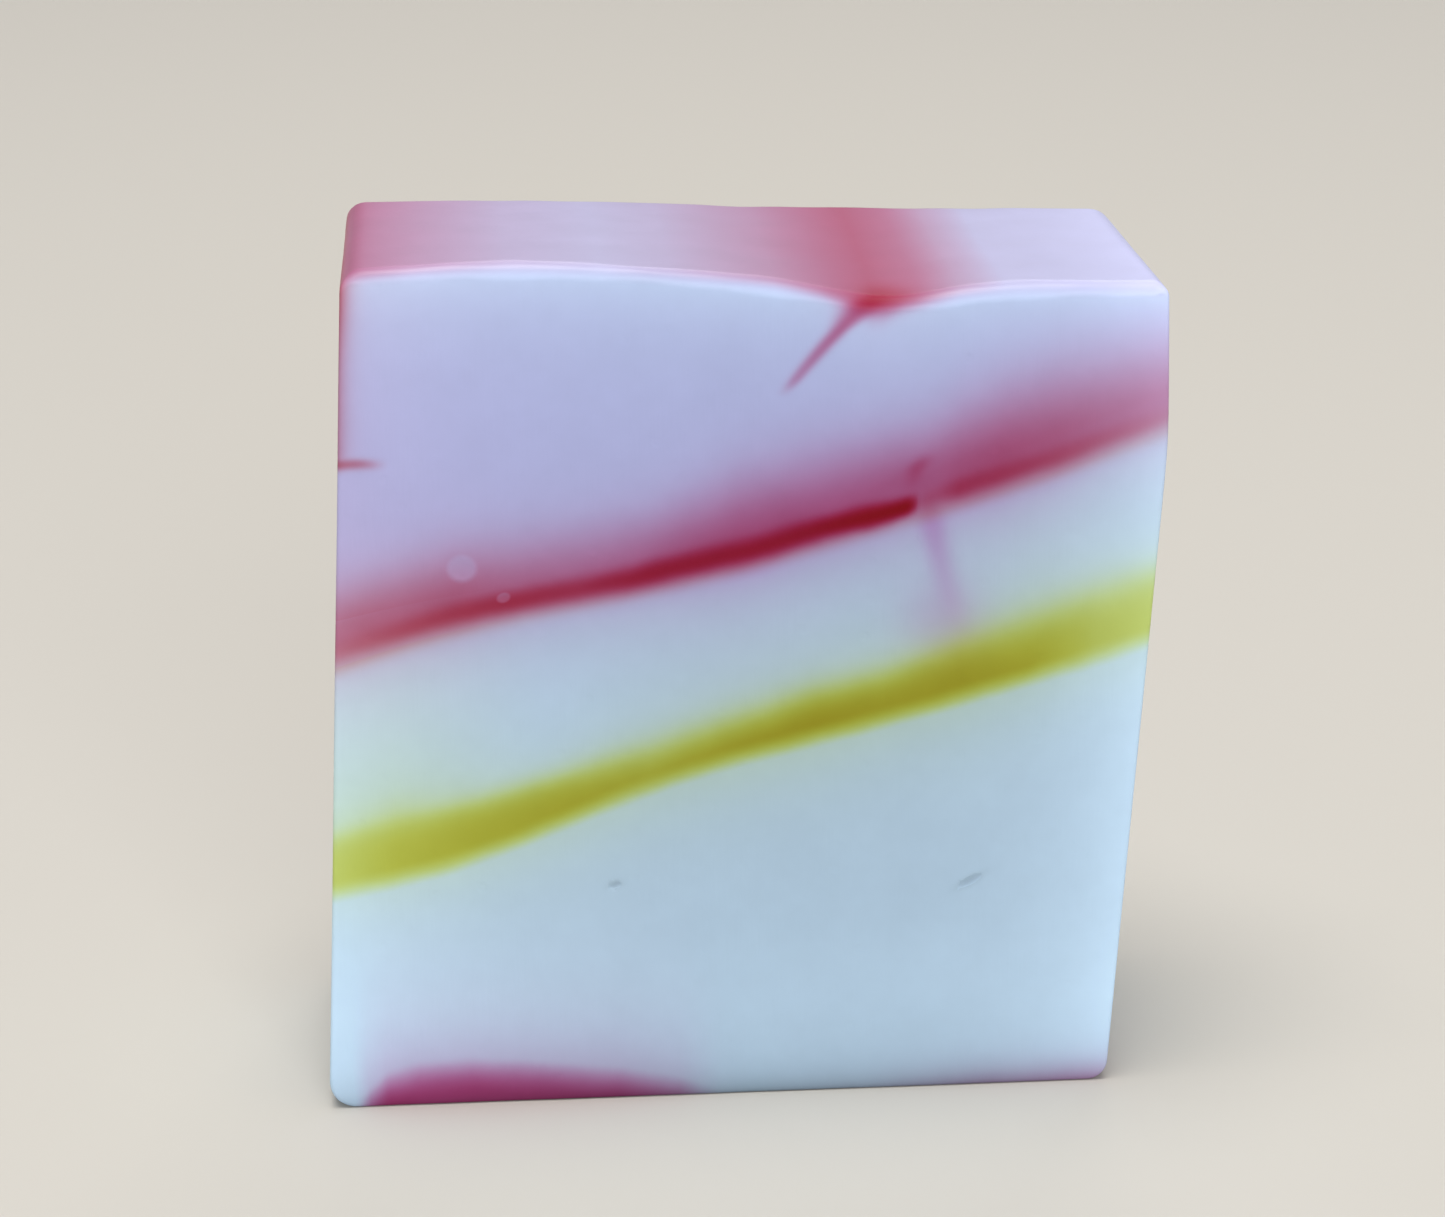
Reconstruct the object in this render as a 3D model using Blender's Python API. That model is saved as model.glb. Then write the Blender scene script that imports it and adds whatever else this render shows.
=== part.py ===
"""Slice of layered melt-and-pour soap, cut across its loaf.

Metres, +Z up.  X runs across the loaf and Y along it, so the two cut faces look along -Y and +Y.
The origin is under the middle of the slice, on the flat face that it stands on.  Every pour and
every dyed streak is a solid of its own: each is lofted from its front outline to its rear outline,
trimmed by the outer form of the slice, and pocketed where another one lies in it.
"""

import math

import bmesh
import bpy
from mathutils import Vector

# ---- overall sizes ---------------------------------------------------------------------------
WIDTH = 0.0762           # left foot to right knee
THICKNESS = 0.0280       # cut face to cut face
HEIGHT = 0.0799          # foot to the crown of the top

# ---- clearances ------------------------------------------------------------------------------
GAP = 0.0003             # between neighbouring pours
MARGIN = 0.006           # how far a guide runs out past the slice
SHARPEST_MITRE = 0.5     # a pocket's corner never moves out by more than its gap over this
SAME_PLACE_DIGITS = 7    # two points are one place when they agree to this many decimals

# ---- outer form ------------------------------------------------------------------------------
LEFT_LEAN = 0.0039       # the left wall leans in, foot to shoulder
RIGHT_FLARE = 0.0033     # the right wall leans out, foot to knee
RIGHT_RETURN = 0.0007    # and in again, knee to shoulder
KNEE_BELOW_CROWN = 0.0175
LEFT_FOOT_RADIUS = 0.0027
RIGHT_FOOT_RADIUS = 0.0018
KNEE_RADIUS = 0.0080
LEFT_SHOULDER_RADIUS = 0.0018
RIGHT_SHOULDER_FRONT_RADIUS = 0.0012
RIGHT_SHOULDER_REAR_RADIUS = 0.0028
CUT_EDGE_RADIUS = 0.0006
CUT_EDGE_STEPS = 2
ARC_STEPS = 4
RIM_REACH = 2            # the top starts this many shoulder radii in from a wall

# ---- top surface -----------------------------------------------------------------------------
TOP_SLOPE = 0.0225       # fall from left to right, per metre
RIDGE_X = -0.0190        # the crown lies here
RIDGE_SPREAD = 0.0130
RIDGE_FRONT = 0.0016
RIDGE_REAR = 0.0005
DIP_X = 0.0126           # the top sinks here, under the red drop
DIP_SPREAD = 0.0050
DIP_FRONT = 0.0015
REAR_RISE = 0.0004       # the rear rim stands this much above the front one
TOP_STEPS = 20

# ---- courses of the two veins ----------------------------------------------------------------
# Each station is its place across the loaf, the depth of the vein's underside below the crown,
# and the vein's thickness there.
YELLOW_STATIONS = (
    (-0.0381, 0.0587, 0.0059),
    (-0.0264, 0.0558, 0.0054),
    (-0.0127, 0.0510, 0.0046),
    (-0.0040, 0.0475, 0.0038),
    (0.0110, 0.0434, 0.0043),
    (0.0254, 0.0395, 0.0056),
    (0.0381, 0.0356, 0.0062),
)
RED_STATIONS = (
    (-0.0381, 0.0369, 0.0045),
    (-0.0258, 0.0330, 0.0034),
    (-0.0125, 0.0304, 0.0028),
    (0.0018, 0.0274, 0.0028),
    (0.0142, 0.0240, 0.0026),
    (0.0249, 0.0208, 0.0036),
    (0.0381, 0.0162, 0.0048),
)
YELLOW_DRIFT = -0.0012   # rise of the yellow vein from the front face to the rear face
RED_DRIFT = 0.0010
VEIN_STEPS = 26
TAIL_STEPS = 13

# ---- breaks and streaks ----------------------------------------------------------------------
RED_NOSE_X = 0.0152      # the red vein ends here in a round nose
RED_TAIL_X = 0.0179      # and goes on here, from a thin start
RED_TAIL_START = 0.0011  # thickness of the tail at its start
RED_TAIL_RUN = 0.0060    # distance over which the tail grows to its full thickness

THREAD_TOP = (0.0162, 0.0182)     # across, and below the crown
THREAD_BEND = (0.0166, 0.0270)
THREAD_END = (0.0200, 0.0325)
THREAD_WIDTH = 0.0008
THREAD_DEPTH = 0.0040    # from the front face into the slice

DRIP_START_X = 0.0116
DRIP_BEND = (0.0076, 0.0069)
DRIP_END = (0.0039, 0.0123)
DRIP_TOP_WIDTH = 0.0014
DRIP_END_WIDTH = 0.0006
DRIP_DEPTH = 0.0060
STREAK_STEPS = 8

# ---- skins and pools -------------------------------------------------------------------------
FILM = 0.0007            # thickness of the pink skim on top
DROP_LEFT_X = 0.0034     # the red drop runs from here ...
DROP_RIGHT_X = 0.0206    # ... to here
DROP_DEPTH = 0.0016      # at its middle
DROP_STEPS = 10

SIDE_FILM = 0.0009       # thickness of the red skin on the left wall
SIDE_FILM_END = 0.0189   # its lower end, below the crown
SPUR_LENGTH = 0.0026     # barb at that lower end, into the slice
SPUR_THICKNESS = 0.0007

POOL_INSET = 0.0036      # from the left foot to the start of the crimson pool
POOL_LENGTH = 0.0322
POOL_HEIGHT = 0.0037
POOL_PEAK = 0.27         # the highest point, as a share of the pool's own length
POOL_STEPS = 14
TRACE_LENGTH = 0.0210    # the pink trace along the right foot
TRACE_START_HEIGHT = 0.0007
TRACE_START_RUN = 0.0014 # distance over which the trace reaches that height
TRACE_END_HEIGHT = 0.0021

# ---- sizes that follow -----------------------------------------------------------------------
FRONT_Y = -THICKNESS / 2
REAR_Y = THICKNESS / 2
LEFT_FOOT_X = -WIDTH / 2
RIGHT_FOOT_X = WIDTH / 2 - RIGHT_FLARE
KNEE_Z = HEIGHT - KNEE_BELOW_CROWN

# ---- finishes: linear colour and roughness ---------------------------------------------------
FINISHES = {
    "lower_pour": ((0.53, 0.69, 0.82), 0.34),
    "middle_pour": ((0.49, 0.63, 0.75), 0.34),
    "upper_pour": ((0.46, 0.48, 0.73), 0.32),
    "yellow_vein": ((0.38, 0.40, 0.04), 0.36),
    "red_vein": ((0.26, 0.03, 0.08), 0.34),
    "red_vein_tail": ((0.34, 0.08, 0.16), 0.34),
    "top_film": ((0.60, 0.43, 0.62), 0.28),
    "top_red_drop": ((0.52, 0.16, 0.27), 0.28),
    "drip_tail": ((0.34, 0.06, 0.14), 0.34),
    "side_film": ((0.42, 0.12, 0.23), 0.30),
    "bleed_thread": ((0.42, 0.34, 0.53), 0.34),
    "foot_pool": ((0.23, 0.07, 0.16), 0.36),
    "foot_trace": ((0.53, 0.45, 0.62), 0.36),
}


# ---- curves ----------------------------------------------------------------------------------
def smooth_through(stations, column, x):
    """Value of one column at x, on a smooth curve through the stations, straight beyond them."""
    xs = [station[0] for station in stations]
    values = [station[column] for station in stations]
    last = len(xs) - 1
    slopes = []
    for i in range(len(xs)):
        before, after = max(i - 1, 0), min(i + 1, last)
        slopes.append((values[after] - values[before]) / (xs[after] - xs[before]))
    if x <= xs[0]:
        return values[0] + slopes[0] * (x - xs[0])
    if x >= xs[last]:
        return values[last] + slopes[last] * (x - xs[last])
    i = max(k for k in range(last) if xs[k] <= x)
    span = xs[i + 1] - xs[i]
    u = (x - xs[i]) / span
    start = (1 + 2 * u) * (1 - u) ** 2 * values[i] + u * (1 - u) ** 2 * span * slopes[i]
    end = u * u * (3 - 2 * u) * values[i + 1] - u * u * (1 - u) * span * slopes[i + 1]
    return start + end


def bell(x, middle, spread):
    """A bell curve of height 1."""
    return math.exp(-0.5 * ((x - middle) / spread) ** 2)


def depth_share(y):
    """0 at the front cut face and 1 at the rear one."""
    return (y - FRONT_Y) / THICKNESS


def top_z(x, y):
    """Height of the top surface, straight in Y between its front and rear rims."""
    share = depth_share(y)
    ridge = RIDGE_FRONT + (RIDGE_REAR - RIDGE_FRONT) * share
    dip = DIP_FRONT * (1 - share)
    plain = HEIGHT - RIDGE_FRONT - TOP_SLOPE * (x - RIDGE_X) + REAR_RISE * share
    return plain + ridge * bell(x, RIDGE_X, RIDGE_SPREAD) - dip * bell(x, DIP_X, DIP_SPREAD)


def vein_underside_z(stations, drift, x, y):
    """Height of a vein's underside."""
    return HEIGHT - smooth_through(stations, 1, x) + drift * depth_share(y)


def yellow_bottom_z(x, y):
    """Height of the yellow vein's underside."""
    return vein_underside_z(YELLOW_STATIONS, YELLOW_DRIFT, x, y)


def yellow_top_z(x, y):
    """Height of the yellow vein's upper side."""
    return yellow_bottom_z(x, y) + smooth_through(YELLOW_STATIONS, 2, x)


def red_bottom_z(x, y):
    """Height of the red vein's underside, which is also where the upper pour meets the middle."""
    return vein_underside_z(RED_STATIONS, RED_DRIFT, x, y)


def spaced(start, end, steps):
    """steps + 1 values from start to end."""
    return [start + (end - start) * i / steps for i in range(steps + 1)]


def fillet(before, corner, after, radius):
    """Arc of the given radius that rounds a corner, as points from one side to the other."""
    corner = Vector(corner)
    back = (Vector(before) - corner).normalized()
    ahead = (Vector(after) - corner).normalized()
    half = back.angle(ahead) / 2
    reach = radius / math.tan(half)
    centre = corner + (back + ahead).normalized() * radius / math.sin(half)
    first = (corner + back * reach - centre).normalized()
    last = (corner + ahead * reach - centre).normalized()
    turns = [step / ARC_STEPS for step in range(ARC_STEPS + 1)]
    return [centre + first.slerp(last, turn).normalized() * radius for turn in turns]


def ribbon(start, bend, end, start_width, end_width):
    """Outline of a streak along a bent line, tapering from its start to a round end."""
    start, bend, end = Vector(start), Vector(bend), Vector(end)
    left, right = [], []
    for u in spaced(0, 1, STREAK_STEPS):
        centre = start * (1 - u) ** 2 + bend * 2 * u * (1 - u) + end * u * u
        along = ((bend - start) * (1 - u) + (end - bend) * u).normalized()
        half = (start_width + (end_width - start_width) * u) / 2
        across = Vector((-along.y, along.x)) * half
        left.append(centre - across)
        right.append(centre + across)
    tip = end + along * half
    return left + [tip] + right[::-1]


def area(outline):
    """Signed area of an outline, positive when its points run anticlockwise."""
    pairs = zip(outline, outline[1:] + outline[:1])
    return sum(a.x * b.y - b.x * a.y for a, b in pairs) / 2


def grown(outline, distance):
    """The outline moved outwards by a distance, each corner along its own bisector."""
    turn = 1 if area(outline) > 0 else -1
    moved = []
    for i, point in enumerate(outline):
        back = (point - outline[i - 1]).normalized()
        ahead = (outline[(i + 1) % len(outline)] - point).normalized()
        normal_in = Vector((back.y, -back.x)) * turn
        normal_out = Vector((ahead.y, -ahead.x)) * turn
        bisector = (normal_in + normal_out).normalized()
        moved.append(point + bisector * distance / max(bisector.dot(normal_in), SHARPEST_MITRE))
    return moved


# ---- outlines, seen from the front: x to the right, z up -------------------------------------
def slice_outline(y):
    """Outer form of the slice at one depth, anticlockwise from its left foot."""
    left_shoulder_x = LEFT_FOOT_X + LEFT_LEAN
    right_shoulder_x = WIDTH / 2 - RIGHT_RETURN
    left_foot, right_foot = (LEFT_FOOT_X, 0), (RIGHT_FOOT_X, 0)
    knee = (WIDTH / 2, KNEE_Z)
    right_radius = RIGHT_SHOULDER_FRONT_RADIUS
    right_radius += (RIGHT_SHOULDER_REAR_RADIUS - RIGHT_SHOULDER_FRONT_RADIUS) * depth_share(y)
    right_shoulder = (right_shoulder_x, top_z(right_shoulder_x, y))
    left_shoulder = (left_shoulder_x, top_z(left_shoulder_x, y))
    right_rim_x = right_shoulder_x - right_radius * RIM_REACH
    left_rim_x = left_shoulder_x + LEFT_SHOULDER_RADIUS * RIM_REACH
    right_rim = (right_rim_x, top_z(right_rim_x, y))
    left_rim = (left_rim_x, top_z(left_rim_x, y))

    outline = fillet(left_shoulder, left_foot, right_foot, LEFT_FOOT_RADIUS)
    outline += fillet(left_foot, right_foot, knee, RIGHT_FOOT_RADIUS)
    outline += fillet(right_foot, knee, right_shoulder, KNEE_RADIUS)
    outline += fillet(knee, right_shoulder, right_rim, right_radius)
    outline += [Vector((x, top_z(x, y))) for x in spaced(right_rim_x, left_rim_x, TOP_STEPS)]
    outline += fillet(left_rim, left_shoulder, left_foot, LEFT_SHOULDER_RADIUS)
    return outline


def band_outline(y, bottom_z, top_of, start_x, end_x, steps):
    """A band between two curves of height, from start_x to end_x."""
    xs = spaced(start_x, end_x, steps)
    lower = [Vector((x, bottom_z(x, y))) for x in xs]
    upper = [Vector((x, top_of(x, y))) for x in reversed(xs)]
    return lower + upper


def full_band(y, bottom_z, top_of):
    """A band that runs out past both walls."""
    reach = WIDTH / 2 + MARGIN
    return band_outline(y, bottom_z, top_of, -reach, reach, VEIN_STEPS)


def lower_pour_outline(y):
    """From below the foot up to the yellow vein."""
    return full_band(y, lambda x, y: -MARGIN, lambda x, y: yellow_bottom_z(x, y) - GAP / 2)


def yellow_vein_outline(y):
    """The yellow vein, wall to wall."""
    return full_band(y, lambda x, y: yellow_bottom_z(x, y) + GAP / 2,
                     lambda x, y: yellow_top_z(x, y) - GAP / 2)


def middle_pour_outline(y):
    """From the yellow vein up to the red one."""
    return full_band(y, lambda x, y: yellow_top_z(x, y) + GAP / 2,
                     lambda x, y: red_bottom_z(x, y) - GAP / 2)


def upper_pour_outline(y):
    """From the red vein's underside up past the top."""
    return full_band(y, lambda x, y: red_bottom_z(x, y) + GAP / 2, lambda x, y: HEIGHT + MARGIN)


def red_vein_outline(y):
    """The red vein, from past the left wall to its round nose."""
    nose_thickness = smooth_through(RED_STATIONS, 2, RED_NOSE_X)

    def thickness(x):
        """Full along the vein, and closing as a half circle at the nose."""
        closing = max(x - (RED_NOSE_X - nose_thickness / 2), 0) / (nose_thickness / 2)
        return smooth_through(RED_STATIONS, 2, x) * math.sqrt(max(1 - closing ** 2, 0))

    def bottom(x, y):
        """The underside, which lifts to meet the upper side at the nose."""
        lift = (smooth_through(RED_STATIONS, 2, x) - thickness(x)) / 2
        return red_bottom_z(x, y) + GAP / 2 + lift

    straight_end = RED_NOSE_X - nose_thickness / 2
    xs = spaced(-WIDTH / 2 - MARGIN, straight_end, VEIN_STEPS)
    xs += [straight_end + nose_thickness / 2 * math.sin(math.pi / 2 * step / ARC_STEPS)
           for step in range(1, ARC_STEPS)]
    lower = [Vector((x, bottom(x, y))) for x in xs]
    upper = [Vector((x, bottom(x, y) + thickness(x))) for x in reversed(xs)]
    nose = Vector((RED_NOSE_X, bottom(RED_NOSE_X, y)))
    return lower + [nose] + upper


def red_tail_outline(y):
    """The red vein beyond its break, from a thin start to past the right wall."""

    def upper(x, y):
        """The upper side, which rises from the thin start to the full thickness."""
        full = smooth_through(RED_STATIONS, 2, x)
        u = min((x - RED_TAIL_X) / RED_TAIL_RUN, 1)
        share = u * u * (3 - 2 * u)
        return red_bottom_z(x, y) + GAP / 2 + RED_TAIL_START + (full - RED_TAIL_START) * share

    return band_outline(y, lambda x, y: red_bottom_z(x, y) + GAP / 2, upper,
                        RED_TAIL_X, WIDTH / 2 + MARGIN, TAIL_STEPS)


def below_crown(place):
    """A place given across and below the crown, as x and z."""
    return Vector((place[0], HEIGHT - place[1]))


def thread_outline(y):
    """The thin bleed that runs down through the break in the red vein."""
    return ribbon(below_crown(THREAD_TOP), below_crown(THREAD_BEND), below_crown(THREAD_END),
                  THREAD_WIDTH, THREAD_WIDTH)


def drip_outline(y):
    """The drip that runs down the cut face from under the red drop."""
    start_z = drop_bottom_z(DRIP_START_X, FRONT_Y) - GAP - DRIP_TOP_WIDTH / 2
    start = Vector((DRIP_START_X, start_z))
    return ribbon(start, below_crown(DRIP_BEND), below_crown(DRIP_END),
                  DRIP_TOP_WIDTH, DRIP_END_WIDTH)


def drop_bottom_z(x, y):
    """Underside of the red drop: a shallow bowl, as thin as the skim at its two edges."""
    u = (x - DROP_LEFT_X) / (DROP_RIGHT_X - DROP_LEFT_X)
    bowl = (DROP_DEPTH - FILM) * math.sin(math.pi * min(max(u, 0), 1))
    return top_z(x, y) - FILM - bowl


def drop_outline(y):
    """The red drop, from its bowl up past the top."""
    return band_outline(y, drop_bottom_z, lambda x, y: HEIGHT + MARGIN,
                        DROP_LEFT_X, DROP_RIGHT_X, DROP_STEPS)


def top_film_outline(y):
    """The pink skim, from past the left wall to the red drop."""
    return band_outline(y, lambda x, y: top_z(x, y) - FILM, lambda x, y: HEIGHT + MARGIN,
                        -WIDTH / 2 - MARGIN, DROP_LEFT_X - GAP, TOP_STEPS)


def left_wall_x(z):
    """Where the left wall is at a height."""
    return LEFT_FOOT_X + LEFT_LEAN * z / HEIGHT


def side_film_outline(y):
    """The red skin on the left wall, with its barb."""
    end_z = HEIGHT - SIDE_FILM_END
    barb_z = end_z + SPUR_THICKNESS
    inner_x = left_wall_x(end_z) + SIDE_FILM
    return [
        Vector((LEFT_FOOT_X - MARGIN, end_z)),
        Vector((inner_x, end_z)),
        Vector((inner_x + SPUR_LENGTH, end_z + SPUR_THICKNESS / 2)),
        Vector((inner_x + SPUR_LENGTH, barb_z)),
        Vector((inner_x, barb_z + SPUR_THICKNESS)),
        Vector((left_wall_x(HEIGHT) + SIDE_FILM, HEIGHT + MARGIN)),
        Vector((LEFT_FOOT_X - MARGIN, HEIGHT + MARGIN)),
    ]


def pool_outline(y):
    """The crimson pool in the foot: it rises quickly from the left and dies out to the right."""

    def height(u):
        """Height of the pool at a share of its length."""
        side = u / POOL_PEAK if u < POOL_PEAK else (1 - u) / (1 - POOL_PEAK)
        return POOL_HEIGHT * math.sin(math.pi / 2 * side)

    start_x = LEFT_FOOT_X + POOL_INSET
    shares = spaced(0, 1, POOL_STEPS)
    curve = [Vector((start_x + POOL_LENGTH * u, height(u))) for u in shares]
    return [Vector((start_x + POOL_LENGTH, -MARGIN)), *curve[::-1], Vector((start_x, -MARGIN))]


def trace_outline(y):
    """The pink trace along the right foot, thicker towards the wall."""
    start_x = RIGHT_FOOT_X - TRACE_LENGTH
    end_x = WIDTH / 2 + MARGIN
    return [
        Vector((start_x, -MARGIN)),
        Vector((end_x, -MARGIN)),
        Vector((end_x, TRACE_END_HEIGHT)),
        Vector((RIGHT_FOOT_X, TRACE_END_HEIGHT)),
        Vector((start_x + TRACE_START_RUN, TRACE_START_HEIGHT)),
    ]


# ---- solids ----------------------------------------------------------------------------------
def loft(name, front, rear, front_y, rear_y):
    """Object whose mesh runs from one outline at front_y to another at rear_y."""
    bm = bmesh.new()
    if area(front) > 0:
        front, rear = front[::-1], rear[::-1]
    ring = [bm.verts.new((point.x, front_y, point.y)) for point in front]
    face = bm.faces.new(ring)
    made = bmesh.ops.extrude_face_region(bm, geom=[face])
    moved = [item for item in made["geom"] if isinstance(item, bmesh.types.BMVert)]

    def place(across, height):
        """Key that two points share when they are one place."""
        return round(across, SAME_PLACE_DIGITS), round(height, SAME_PLACE_DIGITS)

    rear_of = {place(p.x, p.y): q for p, q in zip(front, rear)}
    for vertex in moved:
        target = rear_of[place(vertex.co.x, vertex.co.z)]
        vertex.co = (target.x, rear_y, target.y)
    bmesh.ops.recalc_face_normals(bm, faces=bm.faces)
    mesh = bpy.data.meshes.new(name)
    bm.to_mesh(mesh)
    bm.free()
    piece = bpy.data.objects.new(name, mesh)
    bpy.context.collection.objects.link(piece)
    return piece


def hide_guide(guide):
    """Mark an object as a guide, which is no part of the slice."""
    guide.hide_render = True
    guide.display_type = "WIRE"
    return guide


def combine(piece, other, operation):
    """Put an exact Boolean on a piece."""
    modifier = piece.modifiers.new(f"{operation.lower()}_{other.name}", "BOOLEAN")
    modifier.operation = operation
    modifier.object = other
    modifier.solver = "EXACT"


def slice_form():
    """Guide with the outer form of the whole slice, its cut edges slightly rounded."""
    guide = loft("slice_form", slice_outline(FRONT_Y), slice_outline(REAR_Y), FRONT_Y, REAR_Y)
    bm = bmesh.new()
    bm.from_mesh(guide.data)
    rims = [edge for edge in bm.edges
            if abs(edge.verts[0].co.y - edge.verts[1].co.y) < THICKNESS / 2]
    bmesh.ops.bevel(bm, geom=rims, offset=CUT_EDGE_RADIUS, offset_type="OFFSET", segments=CUT_EDGE_STEPS,
                    profile=0.5, affect="EDGES", material=-1)
    bm.to_mesh(guide.data)
    bm.free()
    return hide_guide(guide)


def finish(name):
    """Material of one sub-part."""
    colour, roughness = FINISHES[name]
    material = bpy.data.materials.new(name)
    material.use_nodes = True
    shader = material.node_tree.nodes["Principled BSDF"]
    shader.inputs["Base Color"].default_value = (*colour, 1)
    shader.inputs["Roughness"].default_value = roughness
    shader.inputs["Metallic"].default_value = 0
    return material


def sub_part(name, outline, form, reach=None):
    """One pour or streak, trimmed by the outer form.

    It runs through the whole slice, or only from the front face in to a reach.
    """
    rear_y = REAR_Y + MARGIN if reach is None else FRONT_Y + reach
    front_y = FRONT_Y - MARGIN
    piece = loft(name, outline(front_y), outline(rear_y), front_y, rear_y)
    piece.data.materials.append(finish(name))
    combine(piece, form, "INTERSECT")
    return piece


def pocket(name, outline, hosts, reach=None):
    """Guide that clears room for a streak in each of its hosts, with the gap all round."""
    rear_y = REAR_Y + 2 * MARGIN if reach is None else FRONT_Y + reach + GAP
    front_y = FRONT_Y - 2 * MARGIN
    front, rear = grown(outline(front_y), GAP), grown(outline(rear_y), GAP)
    guide = hide_guide(loft(f"pocket_{name}", front, rear, front_y, rear_y))
    for host in hosts:
        combine(host, guide, "DIFFERENCE")


def clear_scene():
    """Start from an empty scene."""
    for item in list(bpy.data.objects):
        bpy.data.objects.remove(item, do_unlink=True)


def build():
    """Make every sub-part, then clear the pockets in those that hold another one."""
    clear_scene()
    form = slice_form()
    lower = sub_part("lower_pour", lower_pour_outline, form)
    sub_part("yellow_vein", yellow_vein_outline, form)
    middle = sub_part("middle_pour", middle_pour_outline, form)
    upper = sub_part("upper_pour", upper_pour_outline, form)
    sub_part("red_vein", red_vein_outline, form)
    sub_part("red_vein_tail", red_tail_outline, form)
    sub_part("top_film", top_film_outline, form)
    sub_part("top_red_drop", drop_outline, form)
    side = sub_part("side_film", side_film_outline, form)
    sub_part("foot_pool", pool_outline, form)
    sub_part("foot_trace", trace_outline, form)
    sub_part("drip_tail", drip_outline, form, DRIP_DEPTH)
    sub_part("bleed_thread", thread_outline, form, THREAD_DEPTH)

    pocket("red_vein", red_vein_outline, [upper])
    pocket("red_vein_tail", red_tail_outline, [upper])
    pocket("top_film", top_film_outline, [upper, side])
    pocket("top_red_drop", drop_outline, [upper])
    pocket("side_film", side_film_outline, [upper])
    pocket("foot_pool", pool_outline, [lower])
    pocket("foot_trace", trace_outline, [lower])
    pocket("drip_tail", drip_outline, [upper], DRIP_DEPTH)
    pocket("bleed_thread", thread_outline, [upper, middle], THREAD_DEPTH)


build()
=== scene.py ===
import logging
import math
from dataclasses import dataclass, field
from enum import Enum
from typing import Callable, Sequence, Union

import bmesh
import bpy
import numpy as np
from mathutils import Matrix, Vector


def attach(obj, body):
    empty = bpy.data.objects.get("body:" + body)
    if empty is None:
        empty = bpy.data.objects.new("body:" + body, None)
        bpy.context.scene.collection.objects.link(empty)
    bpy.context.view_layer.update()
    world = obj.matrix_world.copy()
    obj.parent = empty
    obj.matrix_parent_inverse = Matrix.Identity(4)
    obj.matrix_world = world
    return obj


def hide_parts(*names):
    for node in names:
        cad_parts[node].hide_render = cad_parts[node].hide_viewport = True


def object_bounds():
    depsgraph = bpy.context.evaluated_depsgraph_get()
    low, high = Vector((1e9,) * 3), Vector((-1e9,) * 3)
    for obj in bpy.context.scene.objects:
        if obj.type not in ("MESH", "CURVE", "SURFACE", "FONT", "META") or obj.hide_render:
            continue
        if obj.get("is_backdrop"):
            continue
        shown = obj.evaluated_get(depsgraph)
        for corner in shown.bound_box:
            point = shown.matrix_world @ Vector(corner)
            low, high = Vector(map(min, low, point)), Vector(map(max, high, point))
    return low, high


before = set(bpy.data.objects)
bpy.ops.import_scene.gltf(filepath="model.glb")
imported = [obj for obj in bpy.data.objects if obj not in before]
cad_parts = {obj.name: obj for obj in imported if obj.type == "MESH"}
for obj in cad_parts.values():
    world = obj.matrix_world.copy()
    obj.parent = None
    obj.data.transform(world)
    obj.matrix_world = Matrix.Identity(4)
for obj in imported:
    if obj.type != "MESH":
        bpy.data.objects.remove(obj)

# A hand-cut slice of layered melt-and-pour soap.  Lengths are in millimetres in this script's own
# classes, and become metres where a mesh, a light or the camera is made.  X runs across the loaf,
# Y along it, Z up.  One block of soap is modelled whole, with its soft rims and cut faces, and is
# then carved along the courses of its dyes, so that neighbouring pours meet face to face.

MM = 0.001
BODY = "root"
LOG = logging.getLogger("soap")
FOOT_TRIM = 0.14         # the rounded left foot takes this much off the width of the box
SHARP_ANGLE = 38.0       # degrees, past which an edge is shaded sharp
NEARLY_WHOLE = 0.9       # an edge of a unit box that is longer runs along the axis being divided

Array = np.ndarray
Number = Union[float, Array, "Value"]
Shape = Callable[[Array], Array]
Curve = Callable[[Array, Array], Array]


# ---- numbers that work on arrays and on shader sockets ---------------------------------------
class Value:
    """A number that changes over a surface: working with it adds Math nodes to its graph."""

    def __init__(self, graph: "Graph", socket: bpy.types.NodeSocket) -> None:
        """Wrap a socket.

        Args:
            graph: the graph that holds the socket's node.
            socket: the output that carries the number.
        """
        self.graph = graph
        self.socket = socket

    def _math(self, operation: str, *others: Number) -> "Value":
        """Add one Math node that starts from this value."""
        return self.graph.math(operation, self, *others)

    def __add__(self, other: Number) -> "Value":
        """Sum."""
        return self._math("ADD", other)

    __radd__ = __add__

    def __mul__(self, other: Number) -> "Value":
        """Product."""
        return self._math("MULTIPLY", other)

    __rmul__ = __mul__

    def __sub__(self, other: Number) -> "Value":
        """Difference."""
        return self._math("SUBTRACT", other)

    def __rsub__(self, other: Number) -> "Value":
        """Difference from a plain number."""
        return self.graph.math("SUBTRACT", other, self)

    def __truediv__(self, other: Number) -> "Value":
        """Quotient."""
        return self._math("DIVIDE", other)

    def __rtruediv__(self, other: Number) -> "Value":
        """Quotient of a plain number."""
        return self.graph.math("DIVIDE", other, self)

    def __neg__(self) -> "Value":
        """Negative."""
        return self._math("MULTIPLY", -1.0)


def exp(value: Number) -> Number:
    """e to the power of a value, for arrays and for shader values alike."""
    return value.graph.math("EXPONENT", value) if isinstance(value, Value) else np.exp(value)


def larger(value: Number, floor: float) -> Number:
    """The value, or the floor where the value is under it."""
    if isinstance(value, Value):
        return value.graph.math("MAXIMUM", value, floor)
    return np.maximum(value, floor)


def smaller(value: Number, ceiling: float) -> Number:
    """The value, or the ceiling where the value is over it."""
    if isinstance(value, Value):
        return value.graph.math("MINIMUM", value, ceiling)
    return np.minimum(value, ceiling)


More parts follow.
